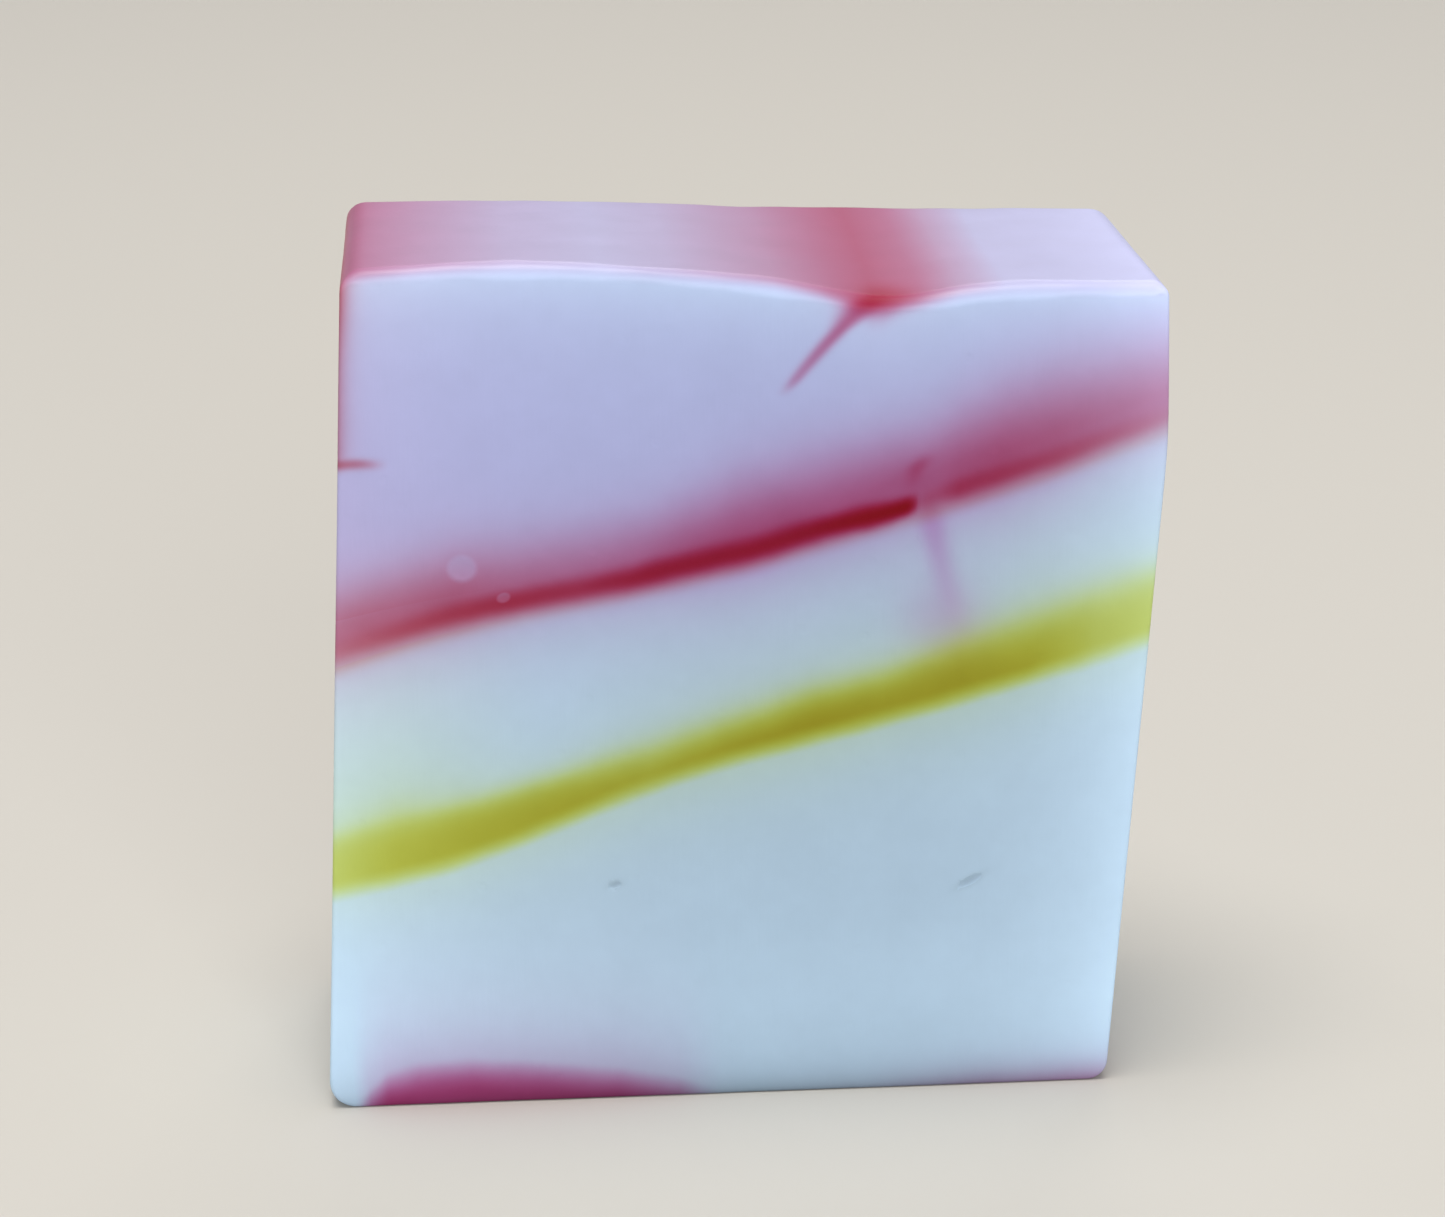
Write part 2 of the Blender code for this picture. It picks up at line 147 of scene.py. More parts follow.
def bell(value: Number, middle: Number, spread: Number) -> Number:
    """A bell curve of height 1.

    Args:
        value: where it is read.
        middle: where it peaks.
        spread: its standard deviation.

    Returns:
        The height of the bell there.
    """
    away = (value - middle) / spread
    return exp(away * away * -0.5)


def rise(value: Number, start: float, end: float) -> Number:
    """A soft step from 0 at start to 1 at end, or down again where end is below start."""
    share = larger(smaller((value - start) / (end - start), 1.0), 0.0)
    return share * share * (3.0 - 2.0 * share)


@dataclass(frozen=True)
class Step:
    """A soft step between two places."""

    start: float
    end: float
    size: float = 1.0

    def at(self, place: Number) -> Number:
        """How much of the step is taken at a place."""
        return rise(place, self.start, self.end) * self.size


@dataclass(frozen=True)
class Swell:
    """A bell-shaped swell about a place."""

    middle: float
    spread: float
    size: float = 1.0

    def at(self, place: Number) -> Number:
        """Size of the swell at a place."""
        return bell(place, self.middle, self.spread) * self.size


@dataclass(frozen=True)
class Fade:
    """A strength that dies out with distance."""

    size: float
    rate: float              # share lost in each step of distance, at the start

    def at(self, distance: Number) -> Number:
        """What is left of the strength at a distance."""
        return exp(distance * -self.rate) * self.size


class Graph:
    """The node tree of one material."""

    def __init__(self, material: bpy.types.Material) -> None:
        """Empty the tree of a material and keep it.

        Args:
            material: the material whose nodes are made here.
        """
        material.use_nodes = True
        self.tree = material.node_tree
        self.tree.nodes.clear()

    def node(self, kind: str, settings: dict[str, object] | None = None,
             inputs: dict[int | str, object] | None = None) -> bpy.types.Node:
        """Add a node, set what it is, then fill its sockets.

        Args:
            kind: the node's type.
            settings: its properties, set first.
            inputs: a value, a Value or an output socket for each named or numbered input.

        Returns:
            The node.
        """
        made = self.tree.nodes.new(kind)
        for name, setting in (settings or {}).items():
            setattr(made, name, setting)
        for key, given in (inputs or {}).items():
            source = given.socket if isinstance(given, Value) else given
            if isinstance(source, bpy.types.NodeSocket):
                self.tree.links.new(source, made.inputs[key])
            else:
                made.inputs[key].default_value = source
        return made

    def math(self, operation: str, *values: Number) -> Value:
        """Add a Math node.

        Args:
            operation: the node's operation.
            values: its inputs in order.

        Returns:
            The result.
        """
        made = self.node("ShaderNodeMath", {"operation": operation}, dict(enumerate(values)))
        return Value(self, made.outputs[0])

    def ramp(self, place: Value, stops: Sequence[tuple[float, float, float, float]]) -> list[Value]:
        """Three numbers that change along a line, from one colour ramp.

        Args:
            place: where the ramp is read.
            stops: a place and three numbers each, in the order of their places.

        Returns:
            The three numbers there.
        """
        start, end = stops[0][0], stops[-1][0]
        scale = max(number for _, *numbers in stops for number in numbers)
        share = (place - start) / (end - start)
        made = self.node("ShaderNodeValToRGB", {}, {0: share})
        elements = made.color_ramp.elements
        while len(elements) < len(stops):
            elements.new(1.0)
        for element, (at, *numbers) in zip(elements, stops):
            element.position = (at - start) / (end - start)
            element.color = (*(number / scale for number in numbers), 1.0)
        parts = self.node("ShaderNodeSeparateColor", {}, {0: made.outputs["Color"]})
        return [Value(self, socket) * scale for socket in parts.outputs[:3]]


# ---- the form of the slice -------------------------------------------------------------------
@dataclass(frozen=True)
class Course:
    """Depth of a line below the crown, as a smooth curve through stations across the loaf."""

    stations: tuple[tuple[float, float], ...]
    drift: float             # rise from the front face to the rear one
    degree: int = 7
    reach: float = 41.0      # the curve is made for places this far from the middle
    samples: int = 160

    def through(self, x: float) -> float:
        """Depth on a curve with an even slope at each station, straight beyond the last ones."""
        xs, depths = zip(*self.stations)
        last = len(xs) - 1
        slopes = [(depths[min(i + 1, last)] - depths[max(i - 1, 0)])
                  / (xs[min(i + 1, last)] - xs[max(i - 1, 0)]) for i in range(last + 1)]
        if x <= xs[0] or x >= xs[last]:
            end = 0 if x <= xs[0] else last
            return depths[end] + slopes[end] * (x - xs[end])
        i = max(k for k in range(last) if xs[k] <= x)
        span = xs[i + 1] - xs[i]
        u = (x - xs[i]) / span
        first = (1 + 2 * u) * (1 - u) ** 2 * depths[i] + u * (1 - u) ** 2 * span * slopes[i]
        second = u * u * (3 - 2 * u) * depths[i + 1] - u * u * (1 - u) * span * slopes[i + 1]
        return first + second

    def terms(self) -> list[float]:
        """Terms of the one polynomial that follows the curve, for meshes and shaders alike."""
        places = np.linspace(-self.reach, self.reach, self.samples)
        fitted = np.polyfit(places / self.reach, [self.through(x) for x in places], self.degree)
        return [float(term) for term in fitted]

    def height(self, x: Number, share: Number, crown: float) -> Number:
        """Height of the line.

        Args:
            x: place across the loaf.
            share: place along it, 0 at the front face and 1 at the rear one.
            crown: height of the crown.

        Returns:
            Height above the foot.
        """
        across = x / self.reach
        first, *others = self.terms()
        depth = first
        for term in others:
            depth = depth * across + term
        return crown - depth + self.drift * share


YELLOW_UNDERSIDE = Course(
    ((-38.1, 58.7), (-26.4, 55.7), (-12.7, 50.6), (-4.0, 47.2), (11.0, 43.4), (25.4, 39.5), (38.1, 35.6)),
    drift=-1.2)
YELLOW_UPPER_SIDE = Course(
    ((-38.1, 52.8), (-26.4, 50.4), (-12.7, 46.4), (-4.0, 43.7), (11.0, 39.1), (25.4, 33.9), (38.1, 29.4)),
    drift=-1.2)
RED_UNDERSIDE = Course(
    ((-38.1, 37.1), (-25.8, 33.3), (-12.5, 30.7), (1.8, 27.5), (14.2, 24.0), (24.9, 20.8), (38.1, 16.2)),
    drift=1.0)
RED_THICKNESS = Course(
    ((-38.1, 4.5), (-25.8, 3.4), (-12.5, 2.8), (1.8, 2.8), (14.2, 2.6), (24.9, 3.6), (38.1, 4.8)),
    drift=0.0)


@dataclass(frozen=True)
class Ripples:
    """Uneven waves between 0 and a depth."""

    depth: float             # from crest to trough
    rate: float              # turns of the longest wave, in radians per millimetre
    phase: float             # where the waves start

    def at(self, across: Array, along: Array) -> Array:
        """Depth of the waves.

        Args:
            across: place in the direction that the waves run in.
            along: place in the other direction, in which they are longer.

        Returns:
            The depth there.
        """
        rate, phase = self.rate, self.phase
        slow = np.sin(across * rate + np.sin(along * rate * 0.6 + phase) + phase)
        quick = np.sin(across * rate * 2.7 - along * rate * 0.8 + phase * 3.0)
        return self.depth * (0.5 + 0.35 * slow + 0.15 * quick)


@dataclass(frozen=True)
class SliceForm:
    """Outer form of the slice: a leaning block with a knee, round corners and soft rims."""

    left: float              # the left wall at the foot, before its corner is rounded
    right: float             # the knee, on the right
    front: float
    rear: float
    crown: float             # height of the crown of the top
    skin: float = 0.03       # the block stays this far inside its box

    left_lean: float = 3.9
    right_flare: float = 3.3
    right_return: float = 0.7
    knee_below_crown: float = 17.5
    knee_softness: float = 0.12

    left_foot_radius: float = 2.7
    right_foot_radius: float = 1.8
    left_shoulder_radius: float = 1.9
    right_shoulder_radii: tuple[float, float] = (1.3, 2.4)   # at the front, at the rear
    side_rim_radius: float = 0.38
    top_rim_radius: float = 1.5

    top_slope: float = 0.0225
    ridge_x: float = -19.0
    ridge_spread: float = 13.0
    ridge_heights: tuple[float, float] = (1.6, 0.5)
    dip_x: float = 12.6
    dip_spread: float = 5.0
    dip_depth: float = 1.5
    rear_rise: float = 0.6

    front_waves: tuple[Ripples, Ripples] = (Ripples(0.05, 0.21, 0.4), Ripples(0.012, 1.3, 0.1))
    rear_waves: tuple[Ripples, Ripples] = (Ripples(0.05, 0.19, 2.1), Ripples(0.012, 1.1, 1.7))
    top_waves: tuple[Ripples, Ripples] = (Ripples(0.05, 0.42, 1.2), Ripples(0.025, 0.95, 0.3))
    wall_waves: Ripples = Ripples(0.035, 0.31, 0.9)
    wave_reach: float = 2.0              # how deep under a face its waves are felt

    settling_rounds: int = 3             # the walls lean, so a place is found in a few rounds
    fine_step: float = 0.14
    coarse_step: float = 0.5
    fine_band: float = 1.96

    def share(self, y: Number) -> Number:
        """0 at the front cut face and 1 at the rear one."""
        return (y - self.front) / (self.rear - self.front)

    def top(self, x: Number, y: Number) -> Number:
        """Height of the poured top."""
        share = self.share(y)
        front_ridge, rear_ridge = self.ridge_heights
        ridge = front_ridge + (rear_ridge - front_ridge) * share
        dip = self.dip_depth * (1.0 - share)
        plain = self.crown - front_ridge - self.top_slope * (x - self.ridge_x) + self.rear_rise * share
        swell = ridge * bell(x, self.ridge_x, self.ridge_spread)
        return plain + swell - dip * bell(x, self.dip_x, self.dip_spread)

    def left_wall(self, z: Number) -> Number:
        """Where the left wall is, at a height."""
        return self.left + self.left_lean / self.crown * z

    def right_wall(self, z: Number) -> Number:
        """Where the right wall is, at a height: out to the knee, then slightly in."""
        knee = self.crown - self.knee_below_crown
        below = self.right_flare / knee * (knee - z)
        above = self.right_return / self.knee_below_crown * (z - knee)
        softness = self.knee_softness
        blend = exp(below / softness) + exp(above / softness)
        log = blend.graph.math("LOGARITHM", blend, math.e) if isinstance(blend, Value) else np.log(blend)
        return self.right - softness * log

    def lines(self, length: float) -> Array:
        """Shares of a length, close together at both ends where the rims turn."""
        ends = np.arange(0.0, self.fine_band, self.fine_step)
        inner = length - 2 * self.fine_band
        middle = self.fine_band + np.linspace(0.0, inner, int(inner / self.coarse_step) + 1)
        return np.concatenate((ends, middle, length - ends[::-1])) / length

    def block(self) -> bpy.types.Mesh:
        """The whole slice as one closed mesh."""
        shares = [self.lines(length) for length in
                  (self.right - self.left, self.rear - self.front, self.crown)]
        return mapped_box("soap_block", shares, self.place)

    def place(self, unit: Array) -> Array:
        """Move points of a unit box onto the slice.

        Args:
            unit: points of the unit box, one in each row.

        Returns:
            The same points on the slice, in millimetres.
        """
        across, along, up = unit.T
        y = self.front + (self.rear - self.front) * along
        x = self.left + (self.right - self.left) * across
        z = self.crown * up
        for _ in range(self.settling_rounds):
            z = self.top(x, y) * up
            x = self.left_wall(z) + (self.right_wall(z) - self.left_wall(z)) * across
        points = np.stack((x, y, z), axis=1)
        points = self.round_corners(points, across, up)
        points = self.round_rims(points, across, along, up)
        return self.weather(points, unit)

    def corner(self, points: Array, across: Array, up: Array) -> tuple[Array, Array, Array]:
        """Distances of points from their wall and from the foot or top, and the corner's radius."""
        x, y, z = points.T
        left, low = across < 0.5, up < 0.5
        wall = np.where(left, x - self.left_wall(z), self.right_wall(z) - x)
        level = np.where(low, z, self.top(x, y) - z)
        shoulder_front, shoulder_rear = self.right_shoulder_radii
        shoulder = shoulder_front + (shoulder_rear - shoulder_front) * self.share(y)
        radius = np.where(left, np.where(low, self.left_foot_radius, self.left_shoulder_radius),
                          np.where(low, self.right_foot_radius, shoulder))
        return wall, level, radius

    def round_corners(self, points: Array, across: Array, up: Array) -> Array:
        """Round the four corners that run along the loaf."""
        wall, level, radius = self.corner(points, across, up)
        over_wall = np.clip(radius - wall, 0.0, None)
        over_level = np.clip(radius - level, 0.0, None)
        reach = np.hypot(over_wall, over_level)
        kept = np.divide(np.maximum(over_wall, over_level), reach, out=np.ones_like(reach), where=reach > 0)
        x, y, z = points.T
        x = x + np.where(across < 0.5, 1.0, -1.0) * over_wall * (1.0 - kept)
        z = z + np.where(up < 0.5, 1.0, -1.0) * over_level * (1.0 - kept)
        return np.stack((x, y, z), axis=1)

    def round_rims(self, points: Array, across: Array, along: Array, up: Array) -> Array:
        """Round the rims of the two cut faces, most of all along the top."""
        x, y, z = points.T
        wall, level, radius = self.corner(points, across, up)
        over_wall = np.clip(radius - wall, 0.0, None)
        over_level = np.clip(radius - level, 0.0, None)
        reach = np.hypot(over_wall, over_level)
        in_corner = (over_wall > 0) & (over_level > 0)
        safe = np.where(reach > 0, reach, 1.0)
        toward_wall = np.where(in_corner, over_wall / safe, (wall < level) * 1.0)
        toward_level = np.where(in_corner, over_level / safe, (wall >= level) * 1.0)
        depth = np.where(in_corner, radius - reach, np.minimum(wall, level))

        uneven = 1.0 + 0.12 * np.sin(x * 0.31 + 1.0) + 0.05 * np.sin(x * 0.83 + y * 0.5)
        top_share = toward_level ** 2 * (up > 0.5)
        rim = self.side_rim_radius + (self.top_rim_radius * uneven - self.side_rim_radius) * top_share
        cut = np.minimum(y - self.front, self.rear - y)
        over_cut = np.clip(rim - cut, 0.0, None)
        over_edge = np.clip(rim - depth, 0.0, None)
        spread = np.hypot(over_cut, over_edge)
        kept = np.divide(np.maximum(over_cut, over_edge), spread, out=np.ones_like(spread),
                         where=spread > 0)
        inward = over_edge * (1.0 - kept)
        y = y + np.where(along < 0.5, 1.0, -1.0) * over_cut * (1.0 - kept)
        x = x + np.where(across < 0.5, 1.0, -1.0) * inward * toward_wall
        z = z + np.where(up < 0.5, 1.0, -1.0) * inward * toward_level
        return np.stack((x, y, z), axis=1)

    def weather(self, points: Array, unit: Array) -> Array:
        """Press the faces in slightly: waves left by the knife, the mould and the cooling top."""
        x, y, z = points.T
        across, along, up = unit.T
        front_waves, rear_waves, top_waves = (
            broad.at(first, second) + fine.at(second, first)
            for (broad, fine), first, second in ((self.front_waves, x, z), (self.rear_waves, x, z),
                                                 (self.top_waves, x, y)))
        wall_waves = self.wall_waves.at(y, z)
        fade = self.wave_reach
        near_front = np.clip(1.0 - (y - self.front) / fade, 0.0, 1.0)
        near_rear = np.clip(1.0 - (self.rear - y) / fade, 0.0, 1.0)
        wall, level, _ = self.corner(points, across, up)
        near_wall = np.clip(1.0 - wall / fade, 0.0, 1.0)
        near_top = np.clip(1.0 - level / fade, 0.0, 1.0) * (up > 0.5)
        y = y + (front_waves + self.skin) * near_front - (rear_waves + self.skin) * near_rear
        x = x + np.where(across < 0.5, 1.0, -1.0) * (wall_waves + self.skin) * near_wall
        z = z - (top_waves + self.skin) * near_top
        return np.stack((x, y, z), axis=1)


# ---- meshes ----------------------------------------------------------------------------------
def mapped_box(name: str, shares: Sequence[Array], shape: Shape) -> bpy.types.Mesh:
    """A box divided along three sets of lines, with its points moved by a rule.

    Args:
        name: the mesh's name.
        shares: for each axis, where its lines are, from 0 to 1.
        shape: the rule, from points of the unit box to millimetres.

    Returns:
        A closed mesh in metres, with its faces outwards.
    """
    bm = bmesh.new()
    bmesh.ops.create_cube(bm, size=1.0)
    for axis, lines in enumerate(shares):
        whole = [edge for edge in bm.edges
                 if abs(edge.verts[0].co[axis] - edge.verts[1].co[axis]) > NEARLY_WHOLE]
        if len(lines) > 2:
            bmesh.ops.subdivide_edges(bm, edges=whole, cuts=len(lines) - 2, use_grid_fill=True)
    mesh = bpy.data.meshes.new(name)
    bm.to_mesh(mesh)
    bm.free()
    even = np.empty(len(mesh.vertices) * 3)
    mesh.vertices.foreach_get("co", even)
    even = even.reshape(-1, 3) + 0.5
    unit = np.stack([np.interp(even[:, axis], np.linspace(0.0, 1.0, len(lines)), lines)
                     for axis, lines in enumerate(shares)], axis=1)
    mesh.vertices.foreach_set("co", (shape(unit) * MM).ravel())
    mesh.update()
    return mesh


def evaluated(mesh: bpy.types.Mesh, cutter: bpy.types.Mesh, operation: str) -> bpy.types.Mesh:
    """Result of a Boolean between two closed meshes.

    Args:
        mesh: what is cut.
        cutter: what cuts it.
        operation: INTERSECT or DIFFERENCE.

    Returns:
        A new mesh.
    """
    target = bpy.data.objects.new("target", mesh)
    tool = bpy.data.objects.new("tool", cutter)
    for item in (target, tool):
        bpy.context.scene.collection.objects.link(item)
    modifier = target.modifiers.new("cut", "BOOLEAN")
    modifier.operation = operation
    modifier.object = tool
    modifier.solver = "MANIFOLD"
    depsgraph = bpy.context.evaluated_depsgraph_get()
    result = bpy.data.meshes.new_from_object(target.evaluated_get(depsgraph))
    for item in (target, tool):
        bpy.data.objects.remove(item, do_unlink=True)
    return result


class FlawKind(Enum):
    """Kinds of flaw in the front cut face."""

    BUBBLE = "cut bubble"
    NICK = "nick"


@dataclass(frozen=True)
class Flaw:
    """A small shallow pit in the front cut face."""

    kind: FlawKind
    centre: tuple[float, float]
    half_lengths: tuple[float, float]
    depth: float
    turn: float = 0.0        # degrees, anticlockwise

    def turned(self, x: Number, z: Number) -> tuple[Number, Number]:
        """A place along and across the flaw, in its own half lengths."""
        cosine, sine = math.cos(math.radians(self.turn)), math.sin(math.radians(self.turn))
        right, up = x - self.centre[0], z - self.centre[1]
        along, across = self.half_lengths
        return (right * cosine + up * sine) / along, (up * cosine - right * sine) / across


FLAWS = (
    Flaw(FlawKind.BUBBLE, (-24.5, 52.5), (1.25, 1.2), 0.12),
    Flaw(FlawKind.BUBBLE, (-20.9, 49.7), (0.6, 0.45), 0.10, 20.0),
    Flaw(FlawKind.NICK, (21.3, 21.0), (1.3, 0.42), 0.16, 30.0),
    Flaw(FlawKind.NICK, (-11.4, 21.7), (0.6, 0.36), 0.12, 15.0))


@dataclass
class SoapBlock:
    """The block of soap while its pours and streaks are carved out of it."""

    form: SliceForm
    rest: bpy.types.Mesh = field(init=False)

    def __post_init__(self) -> None:
        """Make the whole block."""
        self.rest = self.form.block()

    def carve(self, cutter: bpy.types.Mesh) -> bpy.types.Mesh:
        """Take out what lies inside a cutter.

        Args:
            cutter: a closed mesh.

        Returns:
            The mesh that was taken out.
        """
        taken = evaluated(self.rest, cutter, "INTERSECT")
        self.rest = evaluated(self.rest, cutter, "DIFFERENCE")
        return taken

    def dent(self, flaw: Flaw) -> None:
        """Press a shallow oval pit into the front cut face.

        Args:
            flaw: the pit's place, size and turn.
        """
        along, across = flaw.half_lengths
        bm = bmesh.new()
        bmesh.ops.create_uvsphere(bm, u_segments=28, v_segments=14, radius=MM)
        bmesh.ops.scale(bm, vec=(along, flaw.depth, across), verts=bm.verts)
        turn = Matrix.Rotation(-math.radians(flaw.turn), 3, "Y")
        bmesh.ops.rotate(bm, cent=(0, 0, 0), matrix=turn, verts=bm.verts)
        at = Vector((flaw.centre[0], self.form.front, flaw.centre[1])) * MM
        bmesh.ops.translate(bm, vec=at, verts=bm.verts)
        pit = bpy.data.meshes.new("pit")
        bm.to_mesh(pit)
        bm.free()
        self.rest = evaluated(self.rest, pit, "DIFFERENCE")


# ---- dyes ------------------------------------------------------------------------------------
class Dye(Enum):
    """Which dye clouds reach a piece."""

    YELLOW_VEIN = "yellow vein"
    RED_VEIN = "red vein"
    TOP_SKIN = "skim and drop on top"
    SIDE_SKIN = "skin on the left wall"
    DRIP = "drip on the cut face"
    THREAD = "thread through the break"
    FOOT = "pool and trace in the foot"


@dataclass(frozen=True)
class DyeField:
    """How much dye there is at each place in the slice, in steps of natural density."""

    form: SliceForm

    red_strength: tuple[tuple[float, float, float, float], ...] = (
        # across, core, cloud, and how far the cloud reaches up
        (-38.0, 0.00, 1.02, 3.5), (-33.0, 0.40, 1.30, 3.4), (-25.0, 1.25, 1.42, 3.5),
        (-20.0, 1.90, 1.20, 3.3), (-14.0, 1.90, 1.15, 3.2), (-8.0, 2.90, 1.30, 3.2),
        (0.0, 3.00, 1.68, 3.8), (6.0, 3.40, 1.62, 3.9), (11.0, 4.80, 1.58, 3.8),
        (15.0, 5.20, 1.58, 3.7), (16.1, 0.10, 1.50, 3.8), (17.6, 0.40, 1.55, 3.9),
        (19.5, 1.30, 1.65, 4.2), (23.0, 1.05, 1.75, 4.4), (28.0, 0.75, 1.45, 4.6),
        (32.0, 0.50, 1.12, 4.5), (38.0, 0.15, 0.80, 4.2))
    yellow_strength: tuple[tuple[float, float, float, float], ...] = (
        # across, density, height of its upper edge, and how softly that edge fades
        (-38.0, 1.50, 5.4, 1.0), (-31.0, 2.40, 5.7, 1.3), (-24.0, 2.75, 4.9, 1.1),
        (-16.0, 3.00, 3.9, 1.1), (-8.0, 3.10, 2.85, 1.5), (0.0, 3.60, 3.05, 1.5),
        (7.0, 3.70, 3.65, 1.4), (13.0, 3.40, 3.85, 1.4), (20.0, 3.40, 4.55, 1.6),
        (26.0, 3.10, 4.80, 1.9), (32.0, 1.90, 5.80, 1.8), (38.0, 1.45, 6.1, 1.5))
    top_strength: tuple[tuple[float, float, float, float], ...] = (
        # across, density of the skim, how deep it goes, and density of the cloud under it
        (-38.0, 1.20, 0.5, 0.0), (-33.0, 0.95, 0.5, 0.0), (-27.0, 0.60, 0.4, 0.0),
        (-20.0, 0.24, 0.4, 0.0), (-12.0, 0.12, 0.4, 0.0), (-6.0, 0.24, 0.4, 0.0), (-2.0, 0.46, 0.4, 0.0),
        (3.0, 0.76, 0.4, 0.0), (7.0, 1.05, 0.5, 0.1), (11.5, 1.48, 1.0, 0.2),
        (15.5, 1.15, 0.6, 0.1), (19.0, 0.58, 0.4, 0.0), (23.0, 0.08, 0.4, 0.0), (38.0, 0.0, 0.4, 0.0))

    foot_strength: tuple[tuple[float, float, float, float], ...] = (
        # across, height of the pool's edge raised by 1, density of the pool, and of the trace
        (-38.0, 0.0, 0.00, 0.0), (-35.6, 0.4, 0.05, 0.0), (-34.2, 2.1, 0.9, 0.0), (-32.5, 3.8, 1.1, 0.0),
        (-29.7, 4.6, 1.0, 0.0), (-25.1, 4.9, 1.0, 0.0), (-18.6, 4.3, 1.0, 0.0), (-11.2, 3.4, 1.0, 0.0),
        (-5.6, 2.1, 0.8, 0.0), (-1.5, 0.4, 0.1, 0.0), (2.0, 0.0, 0.0, 0.0), (12.0, 0.0, 0.0, 0.10),
        (22.0, 0.0, 0.0, 0.55), (30.0, 0.0, 0.0, 0.9), (38.0, 0.0, 0.0, 1.0))

    # the red vein: heights are above its underside
    core_height: float = 1.45
    core_sag: tuple[Step, Step] = (Step(9.5, 14.0, 0.40), Step(18.0, 16.0))
    core_width: float = 0.74
    core_widening: tuple[Step, ...] = (
        Step(4.0, 10.0, -0.08), Step(11.0, 15.6, -0.16), Step(16.0, 19.0, 0.20))
    cloud_start: float = 1.5
    cloud_underside: float = 1.05
    lingering_start: float = 3.5
    lingering: Fade = Fade(0.20, 0.20)
    lingering_onset: Step = Step(1.0, 4.0)
    red_bleed: Fade = Fade(0.34, 0.28)
    red_bleed_edge: Step = Step(1.6, -0.6)

    # the yellow vein: heights are above its underside
    yellow_underside: Step = Step(-1.1, 1.6)
    yellow_upper_rate: float = 1.7
    haze_above: Fade = Fade(0.11, 0.42)
    haze_below: Fade = Fade(1.0, 0.30)
    left_tint: Fade = Fade(0.28, 0.08)
    left_tint_across: Step = Step(-16.0, -33.0)
    left_tint_onset: Step = Step(4.0, 8.0)

    # the top: depths are below it
    under_drop: Fade = Fade(1.0, 0.5)
    pinch: Swell = Swell(12.8, 1.7, 0.95)
    pinch_inward: Swell = Swell(0.0, 2.2)
    pinch_depth: float = 1.1
    pinch_shallowing: Step = Step(12.0, 14.6, 0.6)
    left_end_tint: Fade = Fade(0.15, 0.10)

    # the left skin: depths are below the crown
    skin_inward: Fade = Fade(1.0, 1.6)
    skin_end: Step = Step(19.0, 16.5)
    skin_strength: float = 0.9
    skin_darkens_at: float = 70.0            # above the foot
    barb: Swell = Swell(17.7, 0.32, 0.9)
    barb_inward: Step = Step(4.7, 1.4)

    # the drip: heights are above its end
    drip_end: tuple[float, float] = (3.9, 67.8)
    drip_lean: float = 0.74
    drip_curl: float = 0.018
    drip_width: float = 0.40
    drip_widening: float = 0.030
    drip_flare: Step = Step(5.2, 8.6, 0.55)
    drip_tip: Step = Step(-0.5, 1.5)
    drip_head: Step = Step(8.8, 7.6)
    drip_inward: Step = Step(6.5, 4.5)
    drip_strength: float = 0.55
    drip_darkening: float = 0.14

    # the thread, with the small dark mark at its head: places are from its head
    thread_top: tuple[float, float] = (16.0, 61.6)
    thread_lean: float = 0.14
    thread_curl: float = 0.006
    thread_width: float = 0.85
    thread_strength: float = 0.44
    thread_onset: Step = Step(-0.5, -5.5)
    thread_end: Step = Step(18.0, 6.0)
    thread_inward: Step = Step(5.0, 3.0)
    bloom_across: Swell = Swell(2.2, 2.6, 0.30)
    bloom_up: Swell = Swell(-14.6, 2.5)
    stem_lean: float = 0.35
    stem_across: Swell = Swell(0.0, 0.50)
    stem_up: Swell = Swell(-1.2, 0.9)
    bar_slope: float = 0.45
    bar_across: Swell = Swell(-0.2, 0.9)
    bar_up: Swell = Swell(-0.5, 0.45)
    mark_strength: float = 0.38

    # the foot: heights are above the pool's edge, or above the foot for the trace
    pool: Step = Step(1.2, -3.0, 2.2)
    pool_haze: Fade = Fade(0.42, 0.22)
    trace: Fade = Fade(1.0, 0.75)

    def red_vein(self, graph: Graph, x: Value, share: Value, z: Value) -> Value:
        """Density of the red vein: a thin dark core, and a cloud that fades upwards from it."""
        above = z - RED_UNDERSIDE.height(x, share, self.form.crown)
        core, cloud, reach = graph.ramp(x, self.red_strength)
        sag, end_of_sag = self.core_sag
        centre = self.core_height - sag.at(x) * end_of_sag.at(x)
        width = sum((step.at(x) for step in self.core_widening), self.core_width)
        dense = core * bell((above - centre) / width, 0.0, 1.0)
        upward = bell(larger(above - self.cloud_start, 0.0), 0.0, reach)
        past = larger(above - self.lingering_start, 0.0)
        lingering = self.lingering.at(past) * self.lingering_onset.at(above)
        downward = bell(smaller(above - self.cloud_start, 0.0), 0.0, self.cloud_underside)
        bleed = self.red_bleed.at(-smaller(above, 0.0)) * self.red_bleed_edge.at(above)
        return dense + cloud * ((upward + lingering) * downward + bleed)

    def yellow_vein(self, graph: Graph, x: Value, share: Value, z: Value) -> Value:
        """Density of the yellow vein: even inside, sharp below and soft above."""
        above = z - YELLOW_UNDERSIDE.height(x, share, self.form.crown)
        density, top, softness = graph.ramp(x, self.yellow_strength)
        past = (above - top) / softness
        upper_edge = 1.0 / (1.0 + exp(past * self.yellow_upper_rate))
        haze = self.haze_above.at(larger(past, 0.0)) * self.haze_below.at(-smaller(above, 0.0))
        beyond = larger(above - self.left_tint_onset.end, 0.0)
        tint = self.left_tint.at(beyond) * self.left_tint_across.at(x) * self.left_tint_onset.at(above)
        return density * (self.yellow_underside.at(above) * upper_edge + haze) + tint

